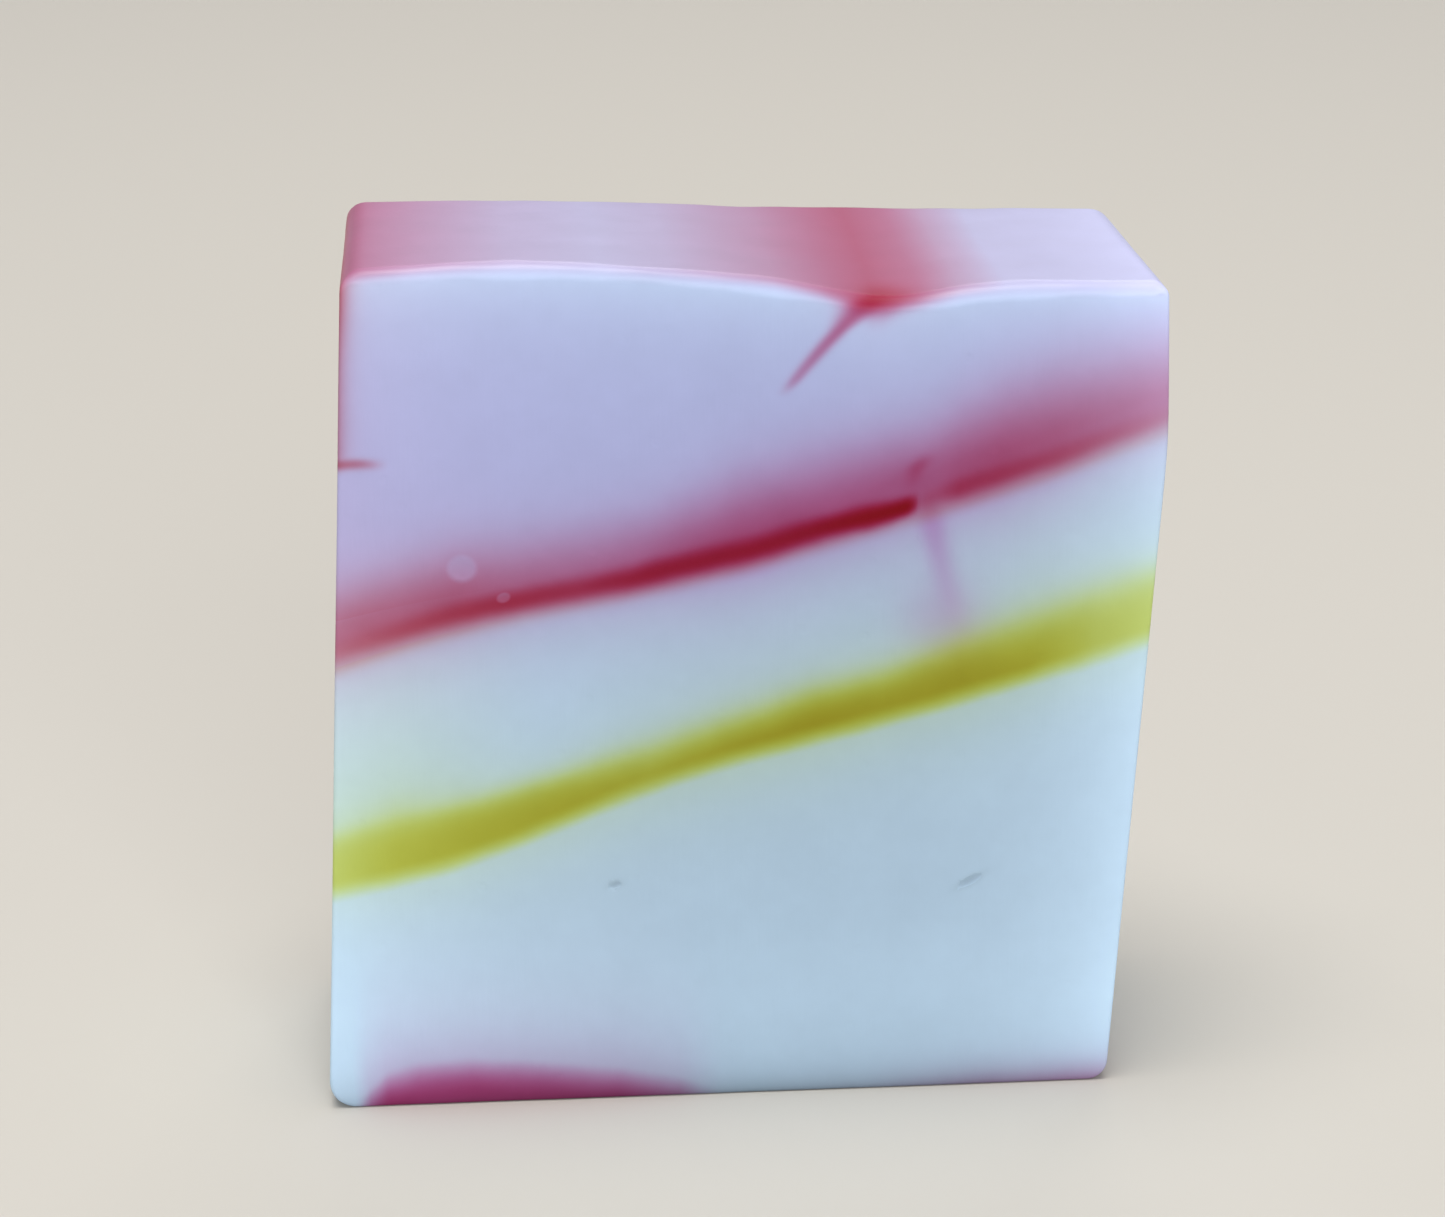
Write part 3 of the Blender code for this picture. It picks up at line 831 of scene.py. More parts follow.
    def top_skin(self, graph: Graph, x: Value, y: Value, z: Value) -> Value:
        """Density of the pink skim and of the red drop, which lie on top and hardly go down."""
        below = larger(self.form.top(x, y) - z, 0.0)
        density, depth, cloud = graph.ramp(x, self.top_strength)
        reach = self.pinch_depth - self.pinch_shallowing.at(x)
        pinch = self.pinch.at(x) * self.pinch_inward.at(y - self.form.front) * bell(below / reach, 0.0, 1.0)
        left_end = self.left_end_tint.at(larger(x - self.form.left_wall(z), 0.0))
        return density * bell(below, 0.0, depth) + cloud * self.under_drop.at(below) + pinch + left_end

    def side_skin(self, x: Value, z: Value) -> Value:
        """Density of the red skin on the left wall and of its barb."""
        inward = larger(x - self.form.left_wall(z), 0.0)
        below = self.form.crown - z
        darker = self.skin_strength + rise(z, self.skin_darkens_at, self.form.crown)
        skin = self.skin_inward.at(inward) * self.skin_end.at(below) * darker
        return skin + self.barb.at(below) * self.barb_inward.at(inward)

    def drip(self, x: Value, y: Value, z: Value) -> Value:
        """Density of the drip: it curves down from the drop, thins and dies out."""
        end_x, end_z = self.drip_end
        over = z - end_z
        up = larger(over, 0.0)
        middle = end_x + up * self.drip_lean + up * up * self.drip_curl
        width = self.drip_width + up * self.drip_widening + self.drip_flare.at(up)
        span = self.drip_tip.at(over) * self.drip_head.at(over)
        shallow = self.drip_inward.at(y - self.form.front)
        return bell(x, middle, width) * span * shallow * (self.drip_strength + up * self.drip_darkening)

    def thread(self, x: Value, y: Value, z: Value) -> Value:
        """Density of the faint thread, with the small dark mark at its head."""
        top_x, top_z = self.thread_top
        right, up = x - top_x, z - top_z
        down = larger(-up, 0.0)
        middle = down * self.thread_lean + down * down * self.thread_curl
        span = self.thread_onset.at(up) * self.thread_end.at(down)
        line = bell(right, middle, self.thread_width) * span * self.thread_strength
        bloom = self.bloom_across.at(right) * self.bloom_up.at(up)
        stem = self.stem_across.at(right - up * self.stem_lean) * self.stem_up.at(up)
        bar = self.bar_across.at(right) * self.bar_up.at(up - right * self.bar_slope)
        mark = (stem + bar) * self.mark_strength
        return (line + mark + bloom) * self.thread_inward.at(y - self.form.front)

    def foot(self, graph: Graph, x: Value, z: Value) -> Value:
        """Density of the pool on the left of the foot and of the trace on its right."""
        raised_edge, dense, trace = graph.ramp(x, self.foot_strength)
        over = z - (raised_edge - 1.0)
        pool = self.pool.at(over) + self.pool_haze.at(larger(over, 0.0))
        return dense * pool + trace * self.trace.at(z)


# ---- finishes --------------------------------------------------------------------------------
@dataclass(frozen=True)
class SoapFinish:
    """Finish of one kind of soap in the slice."""

    name: str
    dyes: tuple[Dye, ...]
    dye_field: DyeField

    white: tuple[float, float, float] = (0.440, 0.590, 0.745)
    lilac: tuple[float, float, float] = (0.430, 0.470, 0.765)
    red_loss: tuple[float, float, float] = (0.145, 1.00, 0.75)
    yellow_loss: tuple[float, float, float] = (0.02, 0.05, 1.00)
    yellow_thick_loss: tuple[float, float, float] = (0.020, 0.038, 0.0)
    red_thick_loss: tuple[float, float, float] = (-0.0065, 0.0, -0.010)
    red_age_loss: tuple[float, float, float] = (0.0, 0.0, 0.26)
    top_warmth: tuple[float, float, float] = (0.86, 0.83, 0.745)
    top_red_warmth: tuple[float, float, float] = (0.0, 0.0, 0.12)

    drift_scale: float = 55.0                # noise scales, per metre
    grain_scale: float = 700.0
    mottle_scale: float = 190.0
    wander_across: float = 1.6               # how far the poured edges wander
    wander_up: float = 0.5
    evenness: float = 0.945
    mottle_light: float = 0.07
    grain_light: float = 0.04
    bubble_paleness: float = 0.34
    top_layer: Step = Step(1.6, 0.2)         # depths below the top
    lilac_onset: Step = Step(-1.0, 3.0)      # heights above the red vein's underside
    # painted highlight: the soap is painted whiter just under the top
    painted_top_sheen: Fade = Fade(0.7, 0.20)
    aged_heights: Step = Step(20.0, 35.0)
    age_middle: float = 6.0
    age_reach: float = 41.5
    young_foot: Step = Step(12.0, 6.0, 0.46)
    young_bleed: Step = Step(0.0, -1.5, 1.3)

    roughness: float = 0.36
    mottle_roughness: float = 0.10
    grain_roughness: float = 0.04
    coat: float = 0.38
    coat_dries: Step = Step(1.3, 0.3)        # densities of red at which the wet coat ends
    coat_roughness: float = 0.30
    refraction: float = 1.47
    specular: float = 0.11

    # painted light and shade in the base colour: brighter near the walls, under the top and low down, a
    # painted contact shadow at the foot and painted shade at the top's left end
    left_light: Fade = Fade(0.42, 0.07)
    left_light_loss: Step = Step(40.0, 60.0, 0.45)
    right_light: Fade = Fade(0.42, 0.15)
    top_light: Fade = Fade(0.34, 0.22)
    even_light: float = 0.95
    low_light: Swell = Swell(10.0, 5.0, 0.08)
    foot_shade: Fade = Fade(0.58, 0.62)
    top_end_shade: Fade = Fade(0.20, 0.30)

    flaw_depths: Step = Step(2.0, 1.0)
    bubble_edge: Step = Step(1.6, 0.5)
    # painted shade in the nicks
    nick_shade: Fade = Fade(0.20, 0.8)

    drag_turn: float = 0.12
    drag_stretch: float = 0.12
    drag_scale: float = 1500.0
    cell_scale: float = 260.0
    pinhole: Step = Step(0.16, 0.05)
    relief_shares: tuple[float, float, float] = (0.35, 0.40, 0.40)       # grain, drag and pinholes
    top_smoothness: float = 0.85
    relief_strength: float = 0.45
    relief_distance: float = 0.00009

    def material(self) -> bpy.types.Material:
        """The material, made of nodes that read the slice's own coordinates."""
        material = bpy.data.materials.new(self.name)
        graph = Graph(material)
        coordinates = graph.node("ShaderNodeTexCoord").outputs["Object"]
        parts = graph.node("ShaderNodeSeparateXYZ", {}, {0: coordinates}).outputs
        x, y, z = (Value(graph, socket) / MM for socket in parts)

        drift = self.noise(graph, coordinates, self.drift_scale, 2.0)
        grain = self.noise(graph, coordinates, self.grain_scale, 3.0)
        mottle = self.noise(graph, coordinates, self.mottle_scale, 2.0)
        wandering_x = x + (drift - 0.5) * self.wander_across
        wandering_z = z + (mottle - 0.5) * self.wander_up
        red, yellow = self.densities(graph, wandering_x, y, wandering_z, x, z)
        pale, painted_nick_shade = self.flaws(x, y, z)
        red = red * (1.0 - pale * self.bubble_paleness)

        uneven = self.evenness + mottle * self.mottle_light + grain * self.grain_light
        # painted light and shade (brighter walls and top, contact shadow at the foot, shade in the nicks)
        # times random mottle and grain tone, multiplied into the base colour
        light = self.painted_glow(x, y, z) * uneven * (1.0 - painted_nick_shade)
        near_top, lilac_share, age = self.layers(x, y, z)
        channels = []
        for white, lilac, red_loss, red_thick, red_age, loss, thick_loss, warmth, red_warmth in zip(
                self.white, self.lilac, self.red_loss, self.red_thick_loss, self.red_age_loss,
                self.yellow_loss, self.yellow_thick_loss, self.top_warmth, self.top_red_warmth):
            base = (white + lilac_share * (lilac - white)) * (1.0 + near_top * (warmth - 1.0))
            density = red * (red_loss + near_top * red_warmth + age * red_age) + yellow * loss
            density = density + yellow * yellow * thick_loss + red * red * red_thick
            channels.append(base * light * exp(-density))
        colour = graph.node("ShaderNodeCombineColor", {}, dict(enumerate(channels)))

        roughness = self.roughness + (mottle - 0.5) * self.mottle_roughness
        shader = graph.node("ShaderNodeBsdfPrincipled", {}, {
            "Base Color": colour.outputs[0],
            "Roughness": roughness + grain * self.grain_roughness,
            "Coat Weight": self.coat * near_top * self.coat_dries.at(red),
            "Coat Roughness": self.coat_roughness,
            "IOR": self.refraction,
            "Specular IOR Level": self.specular,
            "Normal": self.relief(graph, coordinates, grain, near_top),
        })
        output = graph.node("ShaderNodeOutputMaterial")
        graph.tree.links.new(shader.outputs[0], output.inputs["Surface"])
        return material

    def layers(self, x: Value, y: Value, z: Value) -> tuple[Value, Value, Value]:
        """How near the top a place is, how lilac its soap is (painted whiter just under the top, a painted
        highlight), and how far its red has aged.
        """
        form = self.dye_field.form
        below = form.top(x, y) - z
        near_top = self.top_layer.at(below)
        above_red = z - RED_UNDERSIDE.height(x, form.share(y), form.crown)
        # painted highlight: less lilac, so whiter, just under the top
        painted_sheen = self.painted_top_sheen.at(larger(below, 0.0)) * (1.0 - near_top)
        lilac_share = self.lilac_onset.at(above_red) * (1.0 - painted_sheen)
        aged = self.aged_heights.at(z)
        young = self.young_foot.at(z) + self.young_bleed.at(above_red) * aged
        offset = (x - self.age_middle) / self.age_reach
        return near_top, lilac_share, offset * offset * aged * (1.0 - near_top) - young

    @staticmethod
    def noise(graph: Graph, coordinates: bpy.types.NodeSocket, scale: float, detail: float) -> Value:
        """Cloudy noise between 0 and 1."""
        made = graph.node("ShaderNodeTexNoise", {"noise_dimensions": "3D"},
                          {"Vector": coordinates, "Scale": scale, "Detail": detail})
        return Value(graph, made.outputs["Fac"])

    def densities(self, graph: Graph, x: Value, y: Value, z: Value, sharp_x: Value,
                  sharp_z: Value) -> tuple[Value | float, Value | float]:
        """Densities of the red and of the yellow dye.

        Args:
            graph: the material's graph.
            x: place across the loaf, uneven as a poured edge is.
            y: place along the loaf.
            z: height, uneven in the same way.
            sharp_x: place across the loaf, as it is.
            sharp_z: height, as it is.

        Returns:
            The red density and the yellow one.
        """
        dye = self.dye_field
        share = dye.form.share(y)
        red: Value | float = 0.0
        yellow: Value | float = 0.0
        if Dye.RED_VEIN in self.dyes:
            red = red + dye.red_vein(graph, x, share, z)
        if Dye.TOP_SKIN in self.dyes:
            red = red + dye.top_skin(graph, x, y, sharp_z)
        if Dye.SIDE_SKIN in self.dyes:
            red = red + dye.side_skin(sharp_x, z)
        if Dye.DRIP in self.dyes:
            red = red + dye.drip(sharp_x, y, sharp_z)
        if Dye.THREAD in self.dyes:
            red = red + dye.thread(sharp_x, y, sharp_z)
        if Dye.FOOT in self.dyes:
            red = red + dye.foot(graph, x, z)
        if Dye.YELLOW_VEIN in self.dyes:
            yellow = dye.yellow_vein(graph, x, share, z)
        return red, yellow

    def painted_glow(self, x: Value, y: Value, z: Value) -> Value:
        """Painted light and shade in the base colour, for light seeping through: brighter near the walls
        and the top, a painted shadow at the foot.
        """
        form = self.dye_field.form
        from_left = larger(x - form.left_wall(z), 0.0)
        from_right = larger(form.right_wall(z) - x, 0.0)
        from_top = larger(form.top(x, y) - z, 0.0)
        left = self.left_light.at(from_left) * (1.0 - self.left_light_loss.at(z))
        # painted brighter band low down, less a painted contact shadow at the foot
        low = self.low_light.at(z) - self.foot_shade.at(z)
        # painted shade at the left end of the top
        top_end = self.top_end_shade.at(from_left) * self.top_layer.at(from_top)
        sides = self.even_light + left + self.right_light.at(from_right) + low - top_end
        return sides + self.top_light.at(from_top)

    def flaws(self, x: Value, y: Value, z: Value) -> tuple[Value, Value]:
        """Where the cut bubbles are pale, and the painted shade that darkens the grey nicks."""
        shallow = self.flaw_depths.at(y - self.dye_field.form.front)
        pale: Value | float = 0.0
        painted_nick_shade: Value | float = 0.0
        for flaw in FLAWS:
            across, up = flaw.turned(x, z)
            away = across * across + up * up
            if flaw.kind is FlawKind.BUBBLE:
                pale = pale + self.bubble_edge.at(away) * shallow
            else:
                # painted shade in a nick
                painted_nick_shade = painted_nick_shade + self.nick_shade.at(away) * shallow
        return pale, painted_nick_shade

    def relief(self, graph: Graph, coordinates: bpy.types.NodeSocket, grain: Value,
               near_top: Value) -> bpy.types.NodeSocket:
        """Fine relief: knife drag on the cut faces, soap grain and pinholes."""
        stretched = graph.node("ShaderNodeMapping", {}, {
            "Vector": coordinates, "Rotation": (0.0, self.drag_turn, 0.0),
            "Scale": (1.0, 1.0, self.drag_stretch)})
        drag = self.noise(graph, stretched.outputs[0], self.drag_scale, 2.0)
        cells = graph.node("ShaderNodeTexVoronoi", {"feature": "F1"},
                           {"Vector": coordinates, "Scale": self.cell_scale, "Randomness": 1.0})
        pinhole = self.pinhole.at(Value(graph, cells.outputs["Distance"]))
        grain_share, drag_share, pinhole_share = self.relief_shares
        height = grain * grain_share + drag * drag_share - pinhole * pinhole_share
        made = graph.node("ShaderNodeBump", {}, {
            "Strength": self.relief_strength, "Distance": self.relief_distance,
            "Height": height * (1.0 - near_top * self.top_smoothness)})
        return made.outputs["Normal"]


# ---- cutters ---------------------------------------------------------------------------------
@dataclass(frozen=True)
class BentLine:
    """Middle line of a streak, with one bend, and its widths."""

    start: tuple[float, float]
    bend: tuple[float, float]
    end: tuple[float, float]
    widths: tuple[float, float]
    least: float = 0.04      # half width of the blunt tip
    tip: float = 0.06        # share of the length in which it closes

    def beside(self, along: Array, side: Array) -> tuple[Array, Array]:
        """Points beside the middle line.

        Args:
            along: share of the line's length.
            side: -1 on one edge and 1 on the other.

        Returns:
            Places across and up.
        """
        start, bend, end = (np.array(point)[:, None] for point in (self.start, self.bend, self.end))
        centre = start * (1.0 - along) ** 2 + bend * 2.0 * along * (1.0 - along) + end * along ** 2
        heading = (bend - start) * (1.0 - along) + (end - bend) * along
        heading = heading / np.hypot(*heading)
        first, last = self.widths
        closed = np.clip((along - 1.0 + self.tip) / self.tip, 0.0, 1.0)
        closing = np.sqrt(1.0 - closed ** 2)
        half = np.maximum((first + (last - first) * along) / 2.0 * closing, self.least)
        return centre[0] - heading[1] * half * side, centre[1] + heading[0] * half * side


@dataclass(frozen=True)
class Cutters:
    """Makes closed cutters that run out past the slice, each from a divided box."""

    form: SliceForm
    past: float = 3.0
    lines_along: int = 9
    streak_lines: int = 33

    def along(self, reach: float | None) -> tuple[float, float]:
        """Where a cutter starts and ends along the loaf: all through, or in from the front."""
        first = self.form.front - self.past
        return first, self.form.rear + self.past if reach is None else self.form.front + reach

    def band(self, name: str, low: Curve, high: Curve, span: tuple[float, float],
             step: float = 0.5) -> bpy.types.Mesh:
        """A cutter between two heights, all through the slice.

        Args:
            name: the mesh's name.
            low: height of its lower side.
            high: height of its upper side.
            span: where it starts and ends across the loaf.
            step: distance between its lines.

        Returns:
            The cutter.
        """
        lines = np.linspace(0.0, 1.0, int((span[1] - span[0]) / step) + 2)
        deep = np.linspace(0.0, 1.0, self.lines_along)
        first, last = self.along(None)

        def shape(unit: Array) -> Array:
            """Place a point of the unit box between the two heights."""
            x = span[0] + (span[1] - span[0]) * unit[:, 0]
            y = first + (last - first) * unit[:, 1]
            z = low(x, y) + (high(x, y) - low(x, y)) * unit[:, 2]
            return np.stack((x, y, z), axis=1)

        return mapped_box(name, (lines, deep, np.array((0.0, 1.0))), shape)

    def wall_skin(self, name: str, thickness: Callable[[Array], Array], span: tuple[float, float],
                  step: float = 0.2) -> bpy.types.Mesh:
        """A cutter for a skin on the left wall.

        Args:
            name: the mesh's name.
            thickness: thickness of the skin at a height.
            span: the heights where it starts and ends.
            step: distance between its lines.

        Returns:
            The cutter.
        """
        lines = np.linspace(0.0, 1.0, int((span[1] - span[0]) / step) + 2)
        ends = np.array((0.0, 1.0))
        first, last = self.along(None)

        def shape(unit: Array) -> Array:
            """Place a point of the unit box between outside the wall and the skin's inner side."""
            z = span[0] + (span[1] - span[0]) * unit[:, 2]
            inner = self.form.left_wall(z) + thickness(z)
            outer = self.form.left - self.past
            x = outer + (inner - outer) * unit[:, 0]
            y = first + (last - first) * unit[:, 1]
            return np.stack((x, y, z), axis=1)

        return mapped_box(name, (ends, ends, lines), shape)

    def streak(self, name: str, line: BentLine, reach: float) -> bpy.types.Mesh:
        """A cutter for a streak that goes in from the front.

        Args:
            name: the mesh's name.
            line: the streak's middle line and widths.
            reach: how far it goes in.

        Returns:
            The cutter.
        """
        lines = np.linspace(0.0, 1.0, self.streak_lines)
        ends = np.array((0.0, 1.0))
        first, last = self.along(reach)

        def shape(unit: Array) -> Array:
            """Place a point of the unit box beside the middle line."""
            x, z = line.beside(unit[:, 0], unit[:, 2] * 2.0 - 1.0)
            y = first + (last - first) * unit[:, 1]
            return np.stack((x, y, z), axis=1)

        return mapped_box(name, (lines, ends, ends), shape)


# ---- sub-assemblies --------------------------------------------------------------------------
@dataclass
class SubAssembly:
    """Pieces that are carved and dressed together."""

    block: SoapBlock
    cut: Cutters
    dyes: DyeField

    def dress(self, node: str, mesh: bpy.types.Mesh, dyes: tuple[Dye, ...]) -> None:
        """Give a carved mesh its name, shading, finish and place in the frame.

        Args:
            node: the frame's node that it stands for.
            mesh: the carved mesh.
            dyes: the dyes that reach it.
        """
        piece = bpy.data.objects.new(f"soap_{node}", mesh)
        bpy.context.scene.collection.objects.link(piece)
        mesh.name = piece.name
        mesh.materials.clear()
        mesh.materials.append(SoapFinish(f"{node}_soap", dyes, self.dyes).material())
        mesh.shade_smooth()
        mesh.set_sharp_from_angle(angle=math.radians(SHARP_ANGLE))
        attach(piece, BODY)
        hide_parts(node)
        LOG.info("%s: %d faces", piece.name, len(mesh.polygons))


@dataclass
class TopSkins(SubAssembly):
    """The pink skim and the red drop on the top, the drip below it, and the red left skin."""

    film: float = 0.7
    drop_span: tuple[float, float] = (3.4, 20.6)
    drop_depth: float = 1.6
    drip_reach: float = 6.0
    drip_start_x: float = 11.6
    drip_bend: tuple[float, float] = (7.6, 6.9)      # across, and below the crown
    drip_end: tuple[float, float] = (3.9, 12.3)
    drip_widths: tuple[float, float] = (1.4, 0.6)
    side_film: float = 0.9
    side_end: float = 18.9                           # below the crown
    barb_length: float = 2.6
    barb_height: float = 0.9                         # above the skin's lower end
    barb_half_width: float = 0.5

    def drop_bottom(self, x: Array, y: Array) -> Array:
        """Underside of the drop: a shallow bowl, as thin as the skim at its two edges."""
        start, end = self.drop_span
        share = np.clip((x - start) / (end - start), 0.0, 1.0)
        bowl = (self.drop_depth - self.film) * np.sin(math.pi * share)
        return self.cut.form.top(x, y) - self.film - bowl

    def skin(self, z: Array) -> Array:
        """Thickness of the left skin, with its barb."""
        barb_z = self.cut.form.crown - self.side_end + self.barb_height
        closing = np.clip(1.0 - np.abs(z - barb_z) / self.barb_half_width, 0.0, 1.0)
        return self.side_film + self.barb_length * closing

    def build(self) -> None:
        """Carve the pieces and dress them."""
        form, cut = self.cut.form, self.cut
        crown = form.crown

        def above(x: Array, y: Array) -> Array:
            """Higher than the top."""
            return np.full_like(x, crown + cut.past)

        start_z = float(self.drop_bottom(np.array(self.drip_start_x), np.array(form.front)))
        drip = BentLine((self.drip_start_x, start_z - self.drip_widths[0] / 2),
                        (self.drip_bend[0], crown - self.drip_bend[1]),
                        (self.drip_end[0], crown - self.drip_end[1]), self.drip_widths)
        dyes = (Dye.TOP_SKIN, Dye.SIDE_SKIN, Dye.DRIP, Dye.RED_VEIN)
        self.dress("drip_tail", self.block.carve(cut.streak("drip", drip, self.drip_reach)), dyes)
        drop = cut.band("drop", self.drop_bottom, above, self.drop_span)
        self.dress("top_red_drop", self.block.carve(drop), dyes)
        film = cut.band("film", lambda x, y: form.top(x, y) - self.film, above,
                        (form.left - cut.past, self.drop_span[0]))
        self.dress("top_film", self.block.carve(film), dyes)
        side = cut.wall_skin("side", self.skin, (crown - self.side_end, crown + cut.past))
        self.dress("side_film", self.block.carve(side), dyes)


@dataclass
class FootStains(SubAssembly):
    """The crimson pool and the pink trace that lie in the foot."""

    pool_inset: float = 3.6
    pool_length: float = 32.2
    pool_height: float = 3.7
    pool_peak: float = 0.27              # share of its length at which it is highest
    least: float = 0.02
    trace_length: float = 21.0
    trace_heights: tuple[float, float] = (0.7, 2.1)

    def pool_top(self, x: Array, y: Array) -> Array:
        """Upper side of the pool: it rises quickly from the left and dies out to the right."""
        share = np.clip((x - self.cut.form.left - self.pool_inset) / self.pool_length, 0.0, 1.0)
        side = np.where(share < self.pool_peak, share / self.pool_peak,
                        (1.0 - share) / (1.0 - self.pool_peak))
        return np.maximum(self.pool_height * np.sin(math.pi / 2 * side), self.least)

    def trace_top(self, x: Array, y: Array) -> Array:
        """Upper side of the trace, higher towards the wall."""
        form = self.cut.form
        end = form.right - form.right_flare
        share = np.clip((x - end) / self.trace_length + 1.0, 0.0, 1.0)
        first, last = self.trace_heights
        return first + (last - first) * share

    def build(self) -> None:
        """Carve the pieces and dress them."""
        form, cut = self.cut.form, self.cut

        def below(x: Array, y: Array) -> Array:
            """Lower than the foot."""
            return np.full_like(x, -cut.past)

        start = form.left + self.pool_inset
        dyes = (Dye.FOOT,)
        pool = cut.band("pool", below, self.pool_top, (start, start + self.pool_length))
        self.dress("foot_pool", self.block.carve(pool), dyes)
        start = form.right - form.right_flare - self.trace_length
        trace = cut.band("trace", below, self.trace_top, (start, form.right + cut.past))
        self.dress("foot_trace", self.block.carve(trace), dyes)


@dataclass
class Veins(SubAssembly):
    """The red vein with its break, and the thread that runs down through it."""

    nose_x: float = 15.2
    tail_x: float = 17.9
    tail_start: float = 1.1
    tail_run: float = 6.0
    least: float = 0.05
    thread_top: tuple[float, float] = (16.2, 18.2)      # across, and below the crown
    thread_bend: tuple[float, float] = (16.6, 27.0)
    thread_end: tuple[float, float] = (20.0, 32.5)
    thread_width: float = 0.8
    thread_reach: float = 4.0

    def red_low(self, x: Array, y: Array) -> Array:
        """Underside of the red vein."""
        form = self.cut.form
        return RED_UNDERSIDE.height(x, form.share(y), form.crown)

    def red_thickness(self, x: Array) -> Array:
        """Thickness of the red vein, without its nose and its thin start."""
        return RED_THICKNESS.height(x, 0.0, 0.0) * -1.0

    def vein_low(self, x: Array, y: Array) -> Array:
        """Underside of the vein with its nose, which lifts at the nose."""
        return self.red_low(x, y) + (self.red_thickness(x) - self.nosed(x)) / 2.0

    def vein_high(self, x: Array, y: Array) -> Array:
        """Upper side of the vein with its nose."""
        return self.vein_low(x, y) + self.nosed(x)

    def nosed(self, x: Array) -> Array:
        """Thickness of the vein that closes in a round nose."""
        full = self.red_thickness(x)
        closing = np.clip((x - self.nose_x) / (full / 2.0) + 1.0, 0.0, 1.0)
        return np.maximum(full * np.sqrt(1.0 - closing ** 2), self.least)

    def tail_high(self, x: Array, y: Array) -> Array:
        """Upper side of the vein beyond its break."""
        full = self.red_thickness(x)
        share = rise(x, self.tail_x, self.tail_x + self.tail_run)
        return self.red_low(x, y) + self.tail_start + (full - self.tail_start) * share

    def build_red(self) -> None:
        """Carve and dress the thread and both parts of the red vein."""
        form, cut = self.cut.form, self.cut
        thread = BentLine(*((x, form.crown - depth) for x, depth in
                            (self.thread_top, self.thread_bend, self.thread_end)),
                          widths=(self.thread_width, self.thread_width))
        dyes = (Dye.RED_VEIN, Dye.THREAD, Dye.YELLOW_VEIN)
        self.dress("bleed_thread", self.block.carve(cut.streak("thread", thread, self.thread_reach)), dyes)
        vein = cut.band("vein", self.vein_low, self.vein_high, (form.left - cut.past, self.nose_x), 0.3)
        self.dress("red_vein", self.block.carve(vein), (Dye.RED_VEIN, Dye.THREAD))
        tail = cut.band("tail", self.red_low, self.tail_high, (self.tail_x, form.right + cut.past))
        self.dress("red_vein_tail", self.block.carve(tail), (Dye.RED_VEIN, Dye.THREAD))


@dataclass
class Pours(SubAssembly):
    """The three white pours, with the yellow vein between two of them."""

    def build(self) -> None:
        """Carve the lower pours away from the upper one and dress them all."""
        form, cut = self.cut.form, self.cut
        wide = (form.left - cut.past, form.right + cut.past)

        def course(line: Course) -> Curve:
            """The height of a course, for a cutter."""
            return lambda x, y: line.height(x, form.share(y), form.crown)

        def below(x: Array, y: Array) -> Array:
            """Lower than the foot."""
            return np.full_like(x, -cut.past)

        for node, line, dyes in (
                ("lower_pour", YELLOW_UNDERSIDE, (Dye.YELLOW_VEIN, Dye.FOOT)),
                ("yellow_vein", YELLOW_UPPER_SIDE, (Dye.YELLOW_VEIN, Dye.THREAD)),
                ("middle_pour", RED_UNDERSIDE, (Dye.YELLOW_VEIN, Dye.RED_VEIN, Dye.THREAD))):
            self.dress(node, self.block.carve(cut.band(node, below, course(line), wide)), dyes)
        dyes = (Dye.RED_VEIN, Dye.TOP_SKIN, Dye.SIDE_SKIN, Dye.DRIP, Dye.THREAD)
        self.dress("upper_pour", self.block.rest, dyes)


# ---- surroundings ----------------------------------------------------------------------------
@dataclass(frozen=True)
class SoftLight:
    """A soft square light that faces the middle of the slice."""

    name: str
    at: tuple[float, float, float]
    side: float
    watts: float
    colour: tuple[float, float, float]

    def place(self, facing: tuple[float, float, float]) -> None:
        """Add the light.

        Args:
            facing: the point that it faces.
        """
        data = bpy.data.lights.new(self.name, "AREA")
        data.shape = "SQUARE"
        data.size = self.side * MM
        data.energy = self.watts
        data.color = self.colour
        lamp = bpy.data.objects.new(self.name, data)
        bpy.context.scene.collection.objects.link(lamp)
        lamp.location = Vector(self.at) * MM
        aim = (Vector(facing) - Vector(self.at)).to_track_quat("-Z", "Y")
        lamp.rotation_euler = aim.to_euler()


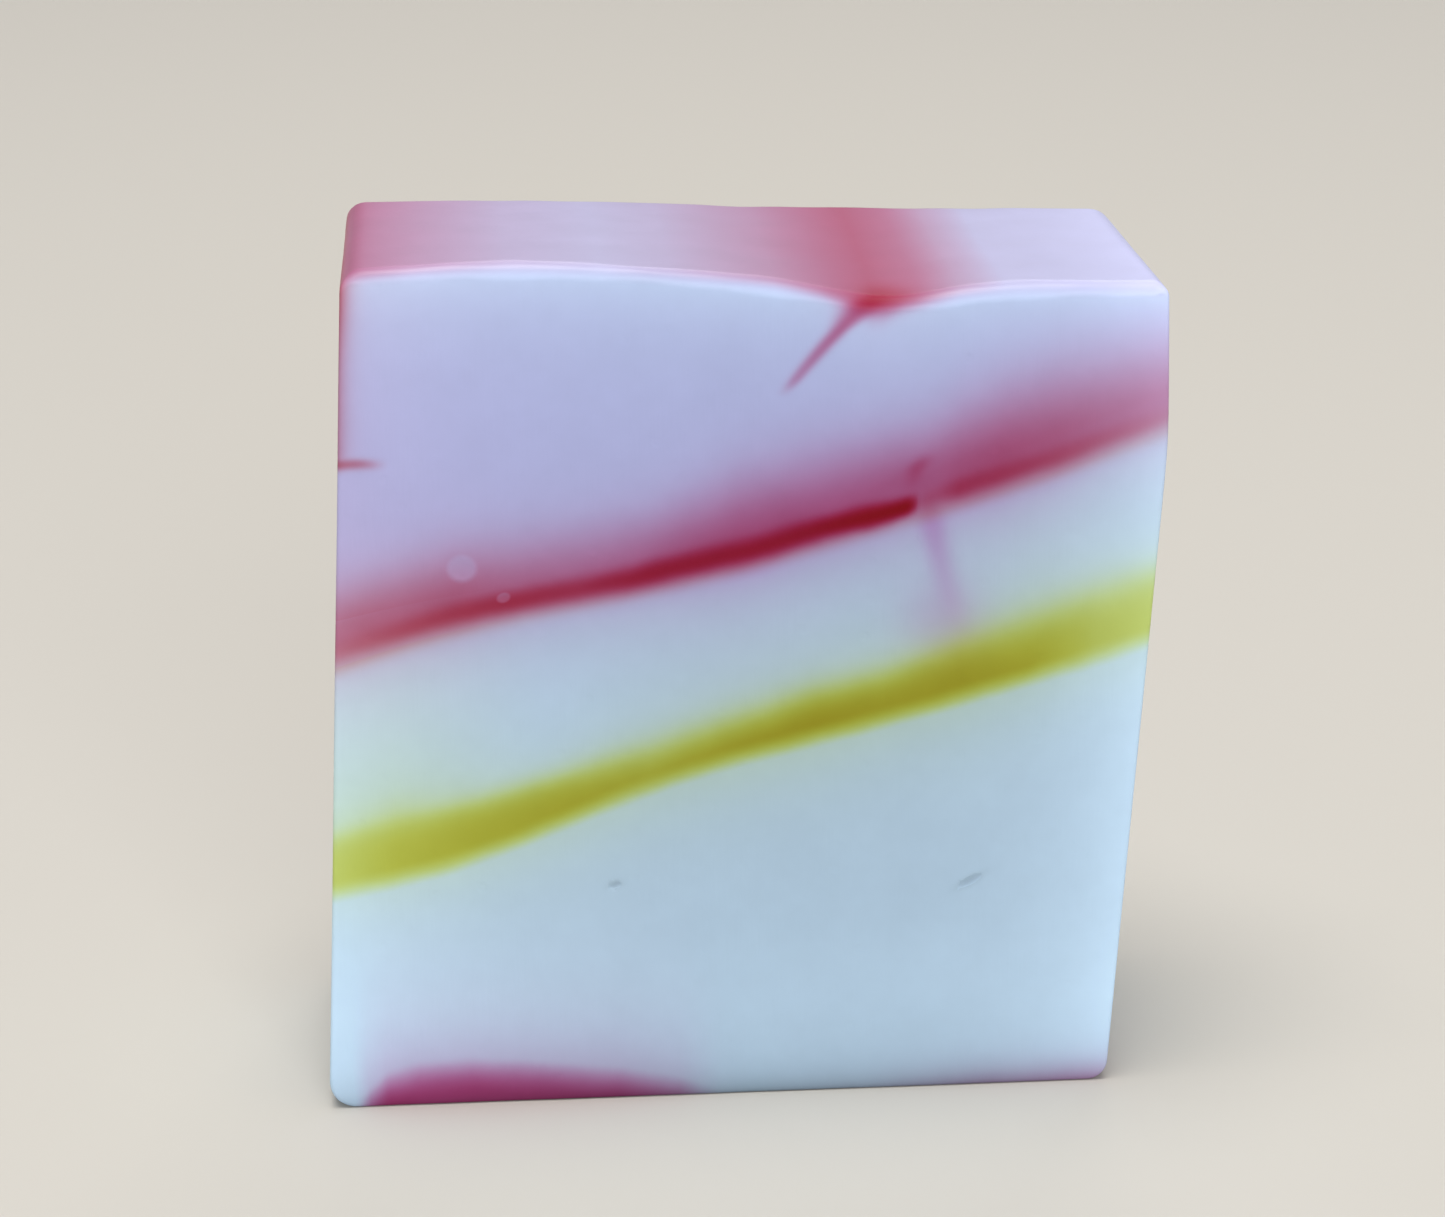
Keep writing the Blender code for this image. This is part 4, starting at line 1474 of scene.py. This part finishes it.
@dataclass(frozen=True)
class Studio:
    """Pale floor, soft lights and the camera."""

    lamps: tuple[SoftLight, ...] = (
        SoftLight("overhead", (-150.0, -150.0, 1700.0), 900.0, 22.0, (1.0, 0.985, 0.96)),
        SoftLight("rear_fill", (300.0, 1300.0, 1300.0), 900.0, 4.5, (1.0, 0.99, 0.97)),
        SoftLight("front_fill", (250.0, -1750.0, 700.0), 1000.0, 15.0, (0.96, 0.98, 1.0)))
    lit_point: tuple[float, float, float] = (0.0, 0.0, 40.0)
    sky_colour: tuple[float, float, float, float] = (0.97, 0.98, 1.0, 1.0)
    sky_strength: float = 0.30

    floor_size: float = 2500.0
    floor_colour: tuple[float, float, float, float] = (0.60, 0.57, 0.52, 1.0)
    floor_roughness: float = 0.85

    camera_at: tuple[float, float, float] = (-24.5, -298.5, 149.3)
    looking_at: tuple[float, float, float] = (-0.4, 0.0, 43.2)
    focal_length: float = 85.0
    film_width: float = 36.0
    nearest: float = 10.0

    def floor(self) -> None:
        """A plain pale floor, large enough to fill every view."""
        bm = bmesh.new()
        bmesh.ops.create_grid(bm, x_segments=4, y_segments=4, size=self.floor_size * MM)
        mesh = bpy.data.meshes.new("floor")
        bm.to_mesh(mesh)
        bm.free()
        floor = bpy.data.objects.new("floor", mesh)
        bpy.context.scene.collection.objects.link(floor)
        material = bpy.data.materials.new("pale_floor")
        graph = Graph(material)
        shader = graph.node("ShaderNodeBsdfPrincipled", {}, {
            "Base Color": self.floor_colour, "Roughness": self.floor_roughness})
        output = graph.node("ShaderNodeOutputMaterial")
        graph.tree.links.new(shader.outputs[0], output.inputs["Surface"])
        mesh.materials.append(material)
        floor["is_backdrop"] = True

    def lights(self) -> None:
        """One large light above, a weak one behind, a fill in front and an even sky."""
        for lamp in self.lamps:
            lamp.place(self.lit_point)
        world = bpy.data.worlds.new("sky")
        world.use_nodes = True
        sky = world.node_tree.nodes["Background"].inputs
        sky["Color"].default_value = self.sky_colour
        sky["Strength"].default_value = self.sky_strength
        bpy.context.scene.world = world

    def camera(self) -> None:
        """A long lens, slightly left of the middle and looking down."""
        data = bpy.data.cameras.new("camera")
        data.sensor_fit = "HORIZONTAL"
        data.sensor_width = self.film_width
        data.lens = self.focal_length
        data.clip_start = self.nearest * MM
        camera = bpy.data.objects.new("camera", data)
        bpy.context.scene.collection.objects.link(camera)
        camera.location = Vector(self.camera_at) * MM
        aim = Vector(self.looking_at) - Vector(self.camera_at)
        camera.rotation_euler = aim.to_track_quat("-Z", "Y").to_euler()
        bpy.context.scene.camera = camera
        bpy.context.scene.view_settings.view_transform = "Standard"


def main() -> None:
    """Build the slice and its surroundings."""
    logging.basicConfig(level=logging.INFO, format="%(name)s %(message)s")
    low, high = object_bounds()
    form = SliceForm(low[0] / MM - FOOT_TRIM, high[0] / MM, low[1] / MM, high[1] / MM, high[2] / MM)
    block, cut, dyes = SoapBlock(form), Cutters(form), DyeField(form)
    for flaw in FLAWS:
        block.dent(flaw)
    TopSkins(block, cut, dyes).build()
    FootStains(block, cut, dyes).build()
    Veins(block, cut, dyes).build_red()
    Pours(block, cut, dyes).build()
    studio = Studio()
    studio.floor()
    studio.lights()
    studio.camera()


if __name__ == "__main__":
    main()
